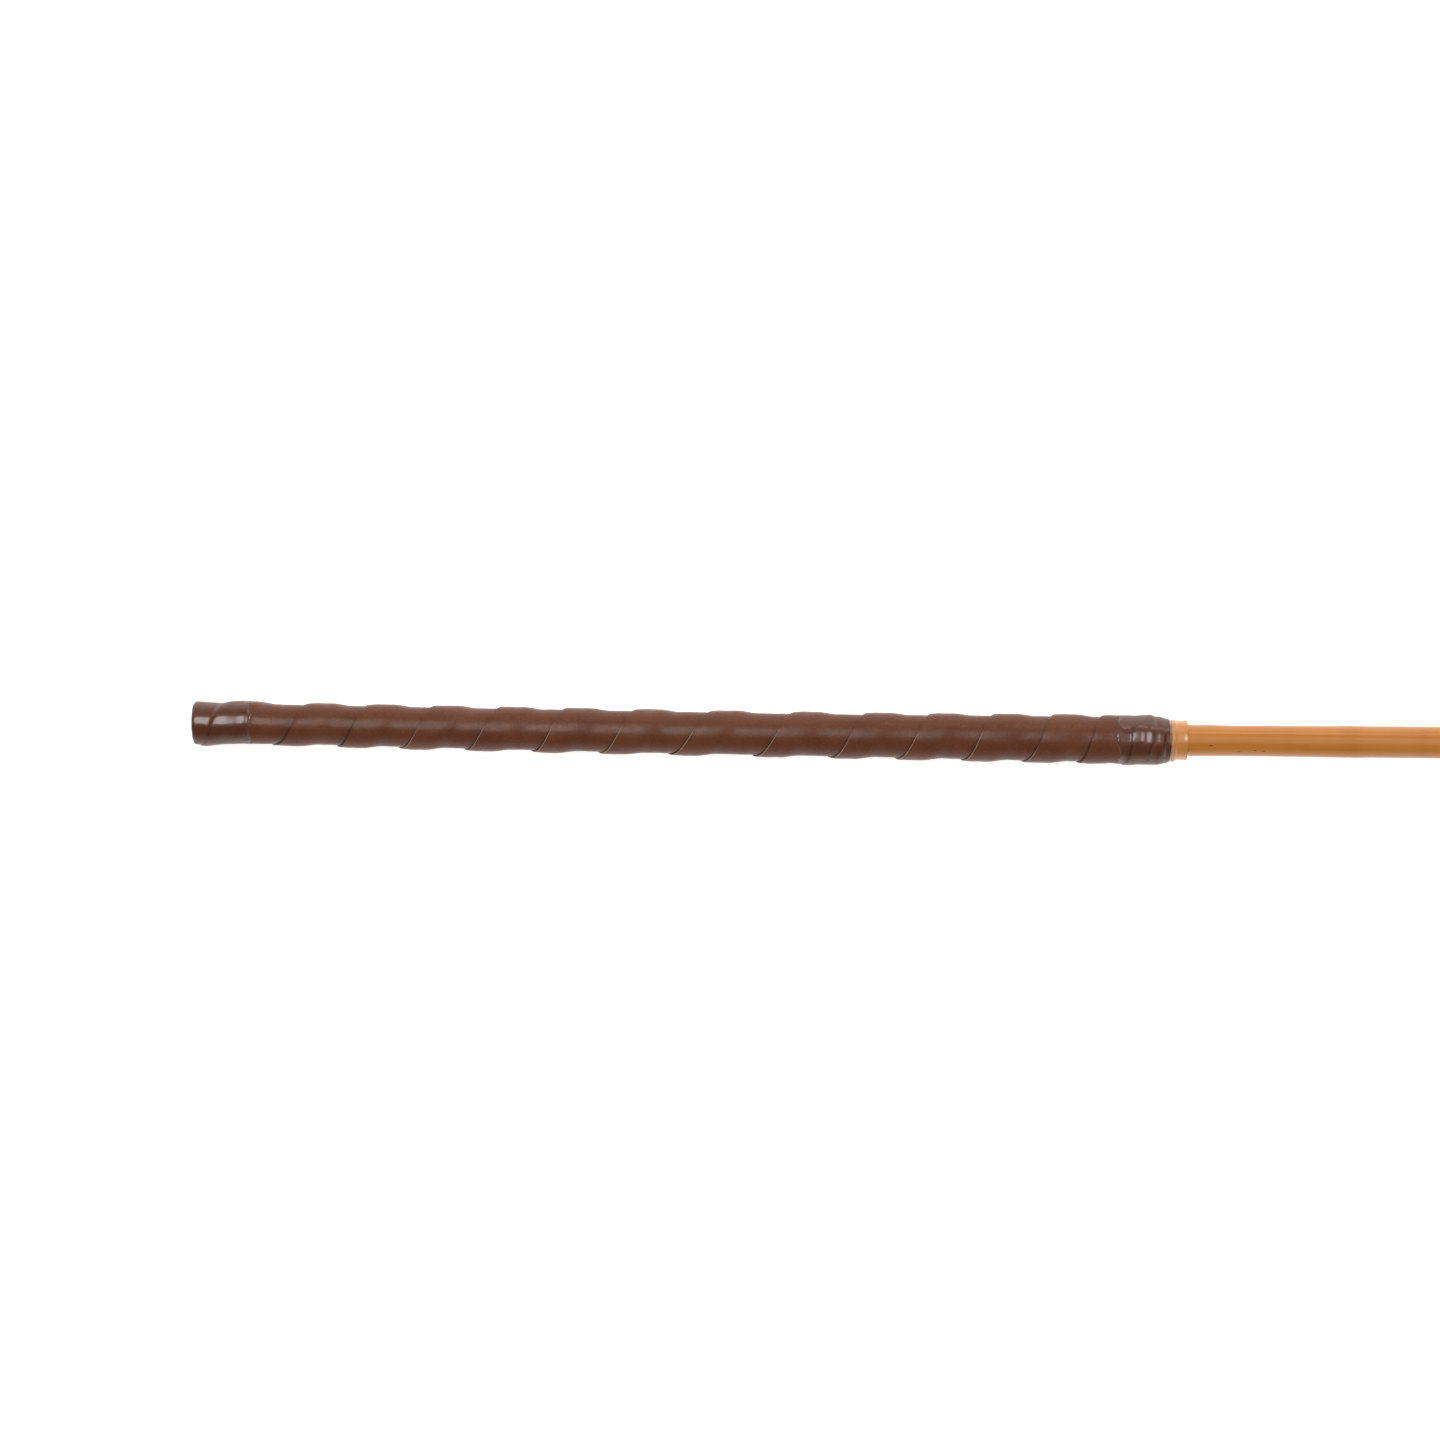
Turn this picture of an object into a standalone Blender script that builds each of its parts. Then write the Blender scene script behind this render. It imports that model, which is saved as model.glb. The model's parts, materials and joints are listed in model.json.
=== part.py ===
"""A riding crop: a rattan cane with a spirally lapped leather grip and a leather keeper at its tip.

Metres, +Z up. The crop lies along X on the plane Z = 0, its butt at -X and its keeper at +X.
A station is a distance from the butt end along the crop, and a turn is one lap of the grip strap
round the cane. Turn 0 starts on the -Y side, and the strap then rises over the top to +Y.
"""

import math

import bmesh
import bpy
from mathutils import Vector

# Driving dimensions, in metres.
LENGTH = 0.700
CANE_BOW = 0.0032          # how far the middle of the cane lies from the line between its ends
SIDES = 20                 # flats round a turned piece, and steps in one turn of the strap
CLEARANCE = 0.0001         # gap between pieces that touch on the real crop

CANE_START = 0.00235
CANE_END = 0.632
# (station, radius) of the cane, with the slight swelling of its two visible nodes.
CANE_PROFILE = (
    (CANE_START, 0.00455), (0.150, 0.00465), (0.300, 0.00474), (0.315, 0.00464), (0.340, 0.00478),
    (0.347, 0.00486), (0.354, 0.00478), (0.400, 0.00478), (0.530, 0.00444), (0.537, 0.00452),
    (0.544, 0.00442), (0.596, 0.00412), (CANE_END, 0.00408),
)

# The grip's strap, one long strip wound left-handed, each turn lapped over the turn before it.
GRIP_START = 0.0024
GRIP_END = 0.2932
STRAP_THICKNESS = 0.00060
STRAP_GAP = 0.00006        # between two lapped turns
LAP_WIDTH = 0.0068         # how far a turn lies over the one before it
LAP_SLOPE = 0.0048         # run over which the strap comes down from the lap
FIRST_TURN = -1.3
LAST_TURN = 16.2
SKIVE_TURNS = 0.25         # length of the pared ends of the strap, in turns
SKIVED_SHARE = 0.15        # thickness that paring leaves
THINNING_START = 13.4      # the turn from which the strap's tail is split thinner,
THINNING_END = 14.6        # the turn by which it has its final thickness,
THINNED_SHARE = 0.6        # and what is left of it there
THINNING_STATION = 0.2800  # where two lapped turns start to be thinner for that reason
THINNING_RUN = 0.0150
# (turn, station) of the strap's exposed edge: hand-wound, so the pitch swells past the middle.
LAP_EDGE = (
    (-1, -0.0150), (0, 0.0030), (0.5, 0.0116), (1, 0.0255), (1.5, 0.0351), (2, 0.0441),
    (3, 0.0630), (4, 0.0828), (5, 0.1026), (6, 0.1230), (7, 0.1440), (8, 0.1692), (9, 0.1920),
    (10, 0.2121), (11, 0.2313), (12, 0.2499), (13, 0.2661), (14, 0.2793), (14.5, 0.2832),
    (15, 0.2862), (16, 0.2905), (17, 0.2935),
)
# (station, radius) that the strap is wound on: the cane and, on most of the grip, the underlay.
CORE_PROFILE = (
    (GRIP_START, 0.00530), (0.0065, 0.00510), (0.011, 0.00500), (0.030, 0.00530), (0.110, 0.00570),
    (0.200, 0.00587), (0.250, 0.00612), (0.271, 0.00615), (0.278, 0.00598), (0.2845, 0.00606),
    (0.288, 0.00586), (0.2905, 0.00545), (GRIP_END, 0.00490),
)
UNDERLAY_START = 0.021
UNDERLAY_END = 0.2895
UNDERLAY_BORE = 0.00482

# Clear shrink sleeves and the adhesive that is squeezed out at their rims.
SLEEVE_WALL = 0.00034
SLEEVE_WALL_ON_CANE = 0.00070
BUTT_SLEEVE_END = 0.0174
LIP_THICKNESS = 0.0005
LIP_HOLE = 0.0032
LIP_CORNER = 0.0016
BUTT_DISC_RADIUS = 0.0053
COLLAR_START = 0.2781
COLLAR_STEP = 0.2940
COLLAR_END = 0.2985
BEAD_WIDTH = 0.0006
BEAD_HEIGHT = 0.0003

# The tip: flats cut on the cane, the keeper's two tails on them, thread round both, and a sleeve.
FLAT_START = 0.600
FLAT_RUN = 0.006
TONGUE_HALF = 0.0017       # half the thickness that is left between the flats
TAIL_START = 0.6075
TAIL_END = 0.6331
TAIL_RADIUS = 0.0043
THREAD_RADIUS = 0.0005
THREAD_PITCH = 0.00108
WHIPPING_START = 0.6095
WHIPPING_END = 0.6290
WHIPPING_STEPS = 10        # points in one turn of the thread
TIP_SLEEVE_START = 0.5990
TIP_SLEEVE_STEP = 0.6065
TIP_SLEEVE_END = 0.6315

# The keeper's flap, a strap folded on itself, which flexes where it leaves the cane.
HINGE_STATION = 0.6357
FLAP_ROOT = 0.0003         # where the flap starts: its distances are measured from the hinge
FLAP_LENGTH = LENGTH - HINGE_STATION
FLAP_HALF_WIDTH = 0.0140
NECK_HALF_WIDTH = 0.0043
SHOULDER_START = 0.0035
SHOULDER_END = 0.0170
LEATHER_THICKNESS = 0.0018
LEAF_SPACING = 0.00115     # from the hinge plane to the middle of each leaf
FOLD_RADIUS = 0.0017       # at the middle of the leather's thickness
FOLD_RUN = 0.0090          # over which the leaves part before the fold
SEAM_INSET = 0.0030
SEAM_START = 0.0190
SEAM_END = 0.0520
CROSS_SEAM = 0.0150
CROSS_SEAM_HALF = 0.0075
SEAM_HOLE_RADIUS = 0.00062
SEAM_THREAD_RADIUS = 0.0004

AXIS_HEIGHT = 0.00772      # height of the crop's axis where the grip rests on the surface
CENTRING = (-0.0001, 0.00046)  # shift in X and Y that centres the crop's box on the origin


def ease(share):
    """0 below 0, 1 above 1, and a smooth step between them."""
    share = min(1.0, max(0.0, share))
    return share * share * (3 - 2 * share)


def through(points, x):
    """The value at x of a smooth curve through (x, value) points, straight beyond its ends."""
    def slope(i):
        low, high = points[max(i - 1, 0)], points[min(i + 1, len(points) - 1)]
        return (high[1] - low[1]) / (high[0] - low[0])

    if x <= points[0][0]:
        return points[0][1] + slope(0) * (x - points[0][0])
    if x >= points[-1][0]:
        return points[-1][1] + slope(len(points) - 1) * (x - points[-1][0])
    i = max(k for k in range(len(points) - 1) if points[k][0] <= x)
    (x0, y0), (x1, y1) = points[i], points[i + 1]
    run = x1 - x0
    t = (x - x0) / run
    return (
        y0 * (1 + 2 * t) * (1 - t) ** 2
        + slope(i) * run * t * (1 - t) ** 2
        + y1 * t * t * (3 - 2 * t)
        + slope(i + 1) * run * t * t * (t - 1)
    )


def bow(station):
    """Sideways place of the cane's centre line."""
    share = station / LENGTH
    return -4 * CANE_BOW * share * (1 - share)


def bow_slope(station):
    return -4 * CANE_BOW * (1 - 2 * station / LENGTH) / LENGTH


def steps(start, end, count):
    return [start + (end - start) * i / count for i in range(count + 1)]


# ---------------------------------------------------------------- scene, materials and placing

def new_collection(name):
    collection = bpy.data.collections.new(name)
    bpy.context.scene.collection.children.link(collection)
    return collection


def make_material(name, colour, roughness, alpha=1.0):
    material = bpy.data.materials.new(name)
    material.use_nodes = True
    shader = material.node_tree.nodes["Principled BSDF"]
    shader.inputs["Base Color"].default_value = (*colour, 1.0)
    shader.inputs["Roughness"].default_value = roughness
    shader.inputs["Metallic"].default_value = 0.0
    shader.inputs["Alpha"].default_value = alpha
    return material


def make_empty(name, parent=None, location=(0, 0, 0), turn_z=0.0):
    empty = bpy.data.objects.new(name, None)
    PARTS.objects.link(empty)
    empty.parent = parent
    empty.location = location
    empty.rotation_euler = (0, 0, turn_z)
    return empty


def make_object(name, data, parent, material=None, collection=None):
    obj = bpy.data.objects.new(name, data)
    (collection or PARTS).objects.link(obj)
    obj.parent = parent
    if material:
        data.materials.append(material)
    return obj


def make_cutter(name, data, parent):
    cutter = make_object(name, data, parent, collection=CUTTERS)
    cutter.hide_render = True
    cutter.display_type = "WIRE"
    return cutter


def cut(obj, cutter):
    boolean = obj.modifiers.new("cut_" + cutter.name, "BOOLEAN")
    boolean.operation = "DIFFERENCE"
    boolean.solver = "EXACT"
    boolean.object = cutter


def follow_bow(obj):
    """Applies the piece's modifiers and moves its points sideways onto the bowed centre line."""
    bpy.context.view_layer.update()
    graph = bpy.context.evaluated_depsgraph_get()
    mesh = bpy.data.meshes.new_from_object(obj.evaluated_get(graph), depsgraph=graph)
    mesh.name = obj.name
    for vertex in mesh.vertices:
        vertex.co.y += bow(vertex.co.x)
    obj.modifiers.clear()
    obj.data = mesh


def shade_round(obj, angle=35):
    obj.data.shade_smooth()
    obj.data.set_sharp_from_angle(angle=math.radians(angle))


# ------------------------------------------------------------------------------- basic shapes

def turned(name, profile, material, closed):
    """A piece turned about X from (station, radius) points, which run along its outer side
    from the butt towards the tip and, where the profile is closed, back along its bore."""
    mesh = bpy.data.meshes.new(name)
    edges = [(i, i + 1) for i in range(len(profile) - 1)]
    if closed:
        edges.append((len(profile) - 1, 0))
    mesh.from_pydata([(x, 0, r) for x, r in profile], edges, [])
    obj = make_object(name, mesh, CROP, material)
    screw = obj.modifiers.new("turning", "SCREW")
    screw.axis = "X"
    screw.steps = screw.render_steps = SIDES
    screw.use_merge_vertices = True
    screw.merge_threshold = 0.00001
    screw.use_normal_flip = True
    return obj


def lofted(name, rings, material, parent):
    """A solid through rings of points, with flat ends."""
    mesh = bpy.data.meshes.new(name)
    count = len(rings[0])
    faces = [tuple(range(count))[::-1]]
    for k in range(len(rings) - 1):
        a, b = k * count, (k + 1) * count
        for i in range(count):
            j = (i + 1) % count
            faces.append((a + i, a + j, b + j, b + i))
    faces.append(tuple(range((len(rings) - 1) * count, len(rings) * count)))
    mesh.from_pydata([point for ring in rings for point in ring], [], faces)
    shape = bmesh.new()
    shape.from_mesh(mesh)
    bmesh.ops.recalc_face_normals(shape, faces=shape.faces)
    shape.to_mesh(mesh)
    shape.free()
    return make_object(name, mesh, parent, material)


def wire(name, points, radius, material, parent, cyclic=False):
    """A round thread through points."""
    curve = bpy.data.curves.new(name, "CURVE")
    curve.dimensions = "3D"
    curve.bevel_depth = radius
    curve.bevel_resolution = 2
    curve.use_fill_caps = True
    spline = curve.splines.new("POLY")
    spline.points.add(len(points) - 1)
    for point, place in zip(spline.points, points):
        point.co = (*place, 1.0)
    spline.use_cyclic_u = cyclic
    return make_object(name, curve, parent, material)


def prism(name, outline, half_depth, parent):
    """A cutter: an outline of (x, z) points, as deep as twice half_depth across Y."""
    mesh = bpy.data.meshes.new(name)
    count = len(outline)
    points = [(x, side * half_depth, z) for side in (-1, 1) for x, z in outline]
    faces = [tuple(range(count)), tuple(range(2 * count - 1, count - 1, -1))]
    faces += [(i, i + count, (i + 1) % count + count, (i + 1) % count) for i in range(count)]
    mesh.from_pydata(points, [], faces)
    shape = bmesh.new()
    shape.from_mesh(mesh)
    bmesh.ops.recalc_face_normals(shape, faces=shape.faces)
    shape.to_mesh(mesh)
    shape.free()
    return make_cutter(name, mesh, parent)


# ---------------------------------------------------------------------------------- the cane

def make_cane():
    """The whole cane, cut flat above and below at its tip to make a tongue for the keeper."""
    stations = sorted(
        {x for x, _ in CANE_PROFILE} | set(steps(CANE_START, CANE_END, 16)) | {FLAT_START}
    )
    edge = 0.0004
    profile = [(CANE_START, 0.0), (CANE_START, CANE_PROFILE[0][1] - edge)]
    profile += [(max(x, CANE_START + edge), through(CANE_PROFILE, x)) for x in stations]
    profile.append((CANE_END, 0.0))
    cane = turned("cane", profile, CANE_FINISH, closed=False)
    reach = 0.008
    for side, name in ((1, "upper_flat_cutter"), (-1, "lower_flat_cutter")):
        outline = [
            (FLAT_START, side * reach),
            (FLAT_START, side * 0.0043),
            (FLAT_START + FLAT_RUN, side * TONGUE_HALF),
            (CANE_END + reach, side * TONGUE_HALF),
            (CANE_END + reach, side * reach),
        ]
        cut(cane, prism(name, outline, reach, CROP))
    follow_bow(cane)
    shade_round(cane)


# ---------------------------------------------------------------------------------- the grip

def core_radius(station):
    return through(CORE_PROFILE, station)


def crown_radius(station):
    """Outside of two lapped turns of the strap, which are thinner at its tail."""
    thinned = 2 * (1 - THINNED_SHARE) * ease((station - THINNING_STATION) / THINNING_RUN)
    return core_radius(station) + STRAP_THICKNESS * (2 - thinned) + STRAP_GAP


def lap_edge(turn):
    return through(LAP_EDGE, turn)


def lap_width(turn):
    """Width of the lap under a turn, which narrows with the pitch at the strap's tail."""
    return min(LAP_WIDTH, 0.42 * (lap_edge(turn) - lap_edge(turn - 1)))


def strap_thickness(turn):
    from_ends = min(turn - FIRST_TURN, LAST_TURN - turn)
    pared = min(1.0, SKIVED_SHARE + ease(from_ends / SKIVE_TURNS))
    thinned = (1 - THINNED_SHARE) * ease((turn - THINNING_START) / (THINNING_END - THINNING_START))
    return STRAP_THICKNESS * pared * (1 - thinned)


def strap_section(turn):
    """The strap's outline at a turn, as (station, radius): its underside from the exposed edge
    to the hidden one, then its face back again."""
    edge, width = lap_edge(turn), lap_width(turn)
    slope = min(LAP_SLOPE, width)
    left = max(edge, GRIP_START)
    right = min(lap_edge(turn + 1) + lap_width(turn + 1), GRIP_END)
    marks = [left, edge + width, edge + width + slope, lap_edge(turn + 1), right]
    least = 0.0001
    for k in range(1, 4):
        marks[k] = min(max(marks[k], marks[k - 1] + least), right - (4 - k) * least)
    below = turn - 1
    lap = strap_thickness(below) + STRAP_GAP if below > FIRST_TURN - 0.001 else 0.0
    under = [
        (x, core_radius(x) + lap * (1 - ease((x - edge - width) / slope))) for x in marks
    ]
    thickness = strap_thickness(turn)
    return under + [(x, r + thickness) for x, r in reversed(under)]


def make_grip_strap():
    count = round((LAST_TURN - FIRST_TURN) * SIDES)
    rings = []
    for turn in steps(FIRST_TURN, LAST_TURN, count):
        angle = 2 * math.pi * turn
        rings.append(
            [(x, -r * math.cos(angle), r * math.sin(angle)) for x, r in strap_section(turn)]
        )
    strap = lofted("grip_strap", rings, GRIP_LEATHER, CROP)
    follow_bow(strap)
    shade_round(strap)


def make_grip_underlay():
    stations = steps(UNDERLAY_START, UNDERLAY_END, 16)
    profile = [(x, core_radius(x) - CLEARANCE) for x in stations]
    profile += [(x, UNDERLAY_BORE) for x in reversed(stations)]
    underlay = turned("grip_underlay", profile, UNDERLAY_FELT, closed=True)
    follow_bow(underlay)
    shade_round(underlay)


def make_butt_disc():
    """The leather disc that closes the end of the grip."""
    front, back, edge = LIP_THICKNESS + CLEARANCE, CANE_START - CLEARANCE, 0.0004
    profile = [
        (front, 0.0),
        (front, BUTT_DISC_RADIUS - edge),
        (front + edge, BUTT_DISC_RADIUS),
        (back, BUTT_DISC_RADIUS),
        (back, 0.0),
    ]
    disc = turned("butt_disc", profile, KEEPER_LEATHER, closed=False)
    follow_bow(disc)
    shade_round(disc)


# --------------------------------------------------------------------------- the shrink sleeves

def make_butt_sleeve():
    """The clear sleeve on the butt, with its end shrunk in over the disc as a lip."""
    body = steps(GRIP_START, BUTT_SLEEVE_END, 6)
    bore = [(x, crown_radius(x) + CLEARANCE) for x in body]
    outside = [(x, r + SLEEVE_WALL) for x, r in bore[1:]]
    top = outside[0][1]
    corner = [
        (
            LIP_CORNER * (1 - math.sin(angle)),
            top - LIP_CORNER * (1 - math.cos(angle)),
        )
        for angle in steps(math.pi / 2, 0, 4)
    ]
    profile = [(0.0, LIP_HOLE)] + corner + outside
    profile += bore[::-1]
    profile += [(LIP_THICKNESS, BUTT_DISC_RADIUS + CLEARANCE), (LIP_THICKNESS, LIP_HOLE)]
    sleeve = turned("butt_sleeve", profile, CLEAR_SLEEVE, closed=True)
    follow_bow(sleeve)
    shade_round(sleeve)


def make_collar_sleeve():
    """The clear sleeve over the strap's tail, which steps down onto the cane."""
    body = steps(COLLAR_START, GRIP_END, 7)
    bore = [(x, crown_radius(x) + CLEARANCE) for x in body]
    bore += [(x, through(CANE_PROFILE, x) + CLEARANCE) for x in (COLLAR_STEP, COLLAR_END)]
    outside = [(x, r + SLEEVE_WALL) for x, r in bore[:8]]
    outside += [
        (x, through(CANE_PROFILE, x) + CLEARANCE + SLEEVE_WALL_ON_CANE)
        for x in (COLLAR_STEP + 0.0010, COLLAR_END)
    ]
    sleeve = turned("collar_sleeve", outside + bore[::-1], CLEAR_SLEEVE, closed=True)
    follow_bow(sleeve)
    shade_round(sleeve)


def make_tip_sleeve():
    """The clear sleeve over the whipping, which steps down onto the cane."""
    whipped = WHIPPING_RADIUS + THREAD_RADIUS + CLEARANCE
    bore = [(x, through(CANE_PROFILE, x) + CLEARANCE) for x in (TIP_SLEEVE_START, FLAT_START)]
    bore += [(TIP_SLEEVE_STEP, TAIL_RADIUS + CLEARANCE), (TIP_SLEEVE_STEP + 0.0015, whipped)]
    bore.append((TIP_SLEEVE_END, whipped))
    outside = [(x, r + SLEEVE_WALL_ON_CANE) for x, r in bore[:3]]
    outside += [(x, r + SLEEVE_WALL) for x, r in bore[3:]]
    sleeve = turned("tip_sleeve", outside + bore[::-1], CLEAR_SLEEVE, closed=True)
    follow_bow(sleeve)
    shade_round(sleeve)


def make_bead(name, station, radius, direction, height=BEAD_HEIGHT):
    """A ring of adhesive that stands on a radius beside a sleeve's rim."""
    near, far = station, station + direction * BEAD_WIDTH
    crest = (near + far) / 2
    low, high = min(near, far), max(near, far)
    profile = [
        (low, radius),
        (low, radius + 0.5 * height),
        (crest, radius + height),
        (high, radius + 0.5 * height),
        (high, radius),
    ]
    bead = turned(name, profile, ADHESIVE, closed=True)
    follow_bow(bead)
    shade_round(bead)


def make_beads():
    butt_edge = BUTT_SLEEVE_END + CLEARANCE
    make_bead("butt_glue_bead", butt_edge, crown_radius(butt_edge + BEAD_WIDTH) + CLEARANCE, 1)
    collar_edge = COLLAR_START - CLEARANCE
    collar_radius = crown_radius(collar_edge - BEAD_WIDTH) + CLEARANCE
    make_bead("collar_glue_bead", collar_edge, collar_radius, -1)
    for name, station, direction in (
        ("collar_glue_fillet", COLLAR_END + CLEARANCE, 1),
        ("tip_glue_fillet", TIP_SLEEVE_START - CLEARANCE, -1),
    ):
        make_bead(name, station, through(CANE_PROFILE, station) + CLEARANCE, direction)
    fill = WHIPPING_RADIUS + THREAD_RADIUS - TAIL_RADIUS - CLEARANCE
    make_bead("tip_glue_fill", TIP_SLEEVE_END - 0.0008, TAIL_RADIUS + CLEARANCE, 1, fill)


# ------------------------------------------------------------------- the keeper and its binding

def make_tail(name, side):
    """One tail of the keeper, pressed to a D against the cane's tongue."""
    inner = TONGUE_HALF + CLEARANCE
    half_angle = math.acos(inner / TAIL_RADIUS)
    arc = [
        (TAIL_RADIUS * math.sin(angle), side * TAIL_RADIUS * math.cos(angle))
        for angle in steps(-half_angle, half_angle, 8)
    ]
    stations = steps(TAIL_START, TAIL_END, 3)
    rings = [[(x, y, z) for y, z in arc] for x in stations]
    tail = lofted(name, rings, KEEPER_LEATHER, CROP)
    follow_bow(tail)
    shade_round(tail)


def make_whipping():
    """The waxed thread that binds the tails to the tongue."""
    turns = (WHIPPING_END - WHIPPING_START) / THREAD_PITCH
    points = []
    for turn in steps(0, turns, round(turns * WHIPPING_STEPS)):
        angle = 2 * math.pi * turn
        station = WHIPPING_START + turn * THREAD_PITCH
        points.append(
            (
                station,
                WHIPPING_RADIUS * math.cos(angle) + bow(station),
                WHIPPING_RADIUS * math.sin(angle),
            )
        )
    wire("tip_whipping", points, THREAD_RADIUS, THREAD, CROP)


def leaf_line():
    """(distance from the hinge, height) along the folded strap: upper leaf, fold, lower leaf."""
    centre = FLAP_LENGTH - FOLD_RADIUS - LEATHER_THICKNESS / 2
    start = centre - FOLD_RUN
    plain = [FLAP_ROOT] + steps(SHOULDER_START, SHOULDER_END, 6) + [SEAM_END]
    leaf = [(x, LEAF_SPACING) for x in plain]
    leaf += [
        (x, LEAF_SPACING + (FOLD_RADIUS - LEAF_SPACING) * ease((x - start) / FOLD_RUN))
        for x in steps(start, centre, 3)
    ]
    fold = [
        (centre + FOLD_RADIUS * math.sin(angle), FOLD_RADIUS * math.cos(angle))
        for angle in steps(0, math.pi, 8)[1:-1]
    ]
    return leaf + fold + [(x, -z) for x, z in reversed(leaf)]


def flap_half_width(distance):
    rise = ease((distance - SHOULDER_START) / (SHOULDER_END - SHOULDER_START))
    return NECK_HALF_WIDTH + (FLAP_HALF_WIDTH - NECK_HALF_WIDTH) * rise


def make_hole_cutter(name, x, y):
    mesh = bpy.data.meshes.new(name)
    shape = bmesh.new()
    bmesh.ops.create_cone(
        shape,
        cap_ends=True,
        segments=12,
        radius1=SEAM_HOLE_RADIUS,
        radius2=SEAM_HOLE_RADIUS,
        depth=0.012,
    )
    bmesh.ops.translate(shape, verts=shape.verts, vec=Vector((x, y, 0)))
    shape.to_mesh(mesh)
    shape.free()
    return make_cutter(name, mesh, KEEPER)


def make_flap(seams):
    """The folded leather flap, pierced at both ends of each seam."""
    line = leaf_line()
    mesh = bpy.data.meshes.new("keeper_flap")
    points = [
        (x, side * flap_half_width(x), z) for x, z in line for side in (-1, 1)
    ]
    faces = [(2 * i, 2 * i + 1, 2 * i + 3, 2 * i + 2) for i in range(len(line) - 1)]
    mesh.from_pydata(points, [], faces)
    flap = make_object("keeper_flap", mesh, KEEPER, KEEPER_LEATHER)
    shell = flap.modifiers.new("leather", "SOLIDIFY")
    shell.thickness = LEATHER_THICKNESS
    shell.offset = 0.0
    for name, ends in seams.items():
        for k, (x, y) in enumerate(ends):
            cut(flap, make_hole_cutter(f"{name}_hole_{k}", x, y))
    shade_round(flap)


def make_seam(name, ends):
    """A loop of thread that runs along both faces of the flap and through a hole at each end."""
    height = LEAF_SPACING + LEATHER_THICKNESS / 2 + SEAM_THREAD_RADIUS + CLEARANCE
    start, end = (Vector((x, y, 0)) for x, y in ends)
    along = (end - start).normalized()
    bend = 0.0003
    points = []
    for level in (1, -1):
        run = (start, end) if level == 1 else (end, start)
        ahead = along * level
        points += [
            run[0] + Vector((0, 0, level * (height - bend))),
            run[0] + ahead * bend + Vector((0, 0, level * height)),
            (run[0] + run[1]) / 2 + Vector((0, 0, level * height)),
            run[1] - ahead * bend + Vector((0, 0, level * height)),
            run[1] + Vector((0, 0, level * (height - bend))),
        ]
    wire(name, points, SEAM_THREAD_RADIUS, SEAM_THREAD, KEEPER, cyclic=True)


def make_keeper():
    side = FLAP_HALF_WIDTH - SEAM_INSET
    seams = {
        "keeper_seam_left": ((SEAM_START, side), (SEAM_END, side)),
        "keeper_seam_right": ((SEAM_START, -side), (SEAM_END, -side)),
        "keeper_seam_cross": ((CROSS_SEAM, -CROSS_SEAM_HALF), (CROSS_SEAM, CROSS_SEAM_HALF)),
    }
    make_flap(seams)
    for name, ends in seams.items():
        make_seam(name, ends)


# The thread's centre lies far enough out that its straight steps clear the tails.
WHIPPING_RADIUS = (TAIL_RADIUS + CLEARANCE + THREAD_RADIUS) / math.cos(math.pi / WHIPPING_STEPS)

for old in list(bpy.data.objects):
    bpy.data.objects.remove(old)
PARTS = new_collection("riding_crop")
CUTTERS = new_collection("cutters")
CROP = make_empty(
    "riding_crop_frame", location=(CENTRING[0] - LENGTH / 2, CENTRING[1], AXIS_HEIGHT)
)
KEEPER = make_empty(
    "keeper_hinge",
    CROP,
    (HINGE_STATION, bow(HINGE_STATION), 0),
    math.atan(bow_slope(HINGE_STATION)),
)

CANE_FINISH = make_material("cane", (0.56, 0.21, 0.05), 0.30)
GRIP_LEATHER = make_material("grip_leather", (0.165, 0.062, 0.036), 0.50)
KEEPER_LEATHER = make_material("keeper_leather", (0.135, 0.050, 0.030), 0.55)
UNDERLAY_FELT = make_material("underlay_felt", (0.30, 0.27, 0.22), 0.95)
CLEAR_SLEEVE = make_material("clear_sleeve", (0.90, 0.88, 0.84), 0.08, alpha=0.25)
ADHESIVE = make_material("adhesive", (0.85, 0.78, 0.62), 0.15, alpha=0.5)
THREAD = make_material("thread", (0.10, 0.045, 0.025), 0.65)
SEAM_THREAD = make_material("seam_thread", (0.55, 0.38, 0.20), 0.70)

make_cane()
make_grip_underlay()
make_grip_strap()
make_butt_disc()
make_butt_sleeve()
make_collar_sleeve()
make_tip_sleeve()
make_beads()
make_tail("keeper_tail_upper", 1)
make_tail("keeper_tail_lower", -1)
make_whipping()
make_keeper()
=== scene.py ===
"""Looks of the riding crop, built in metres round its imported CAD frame.

A station is a distance from the butt end along the crop. A turn is one lap of the grip strap round
the cane: turn 0 starts on the -Y side, and the strap then rises over the top to +Y.
"""

import json
import math

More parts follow.
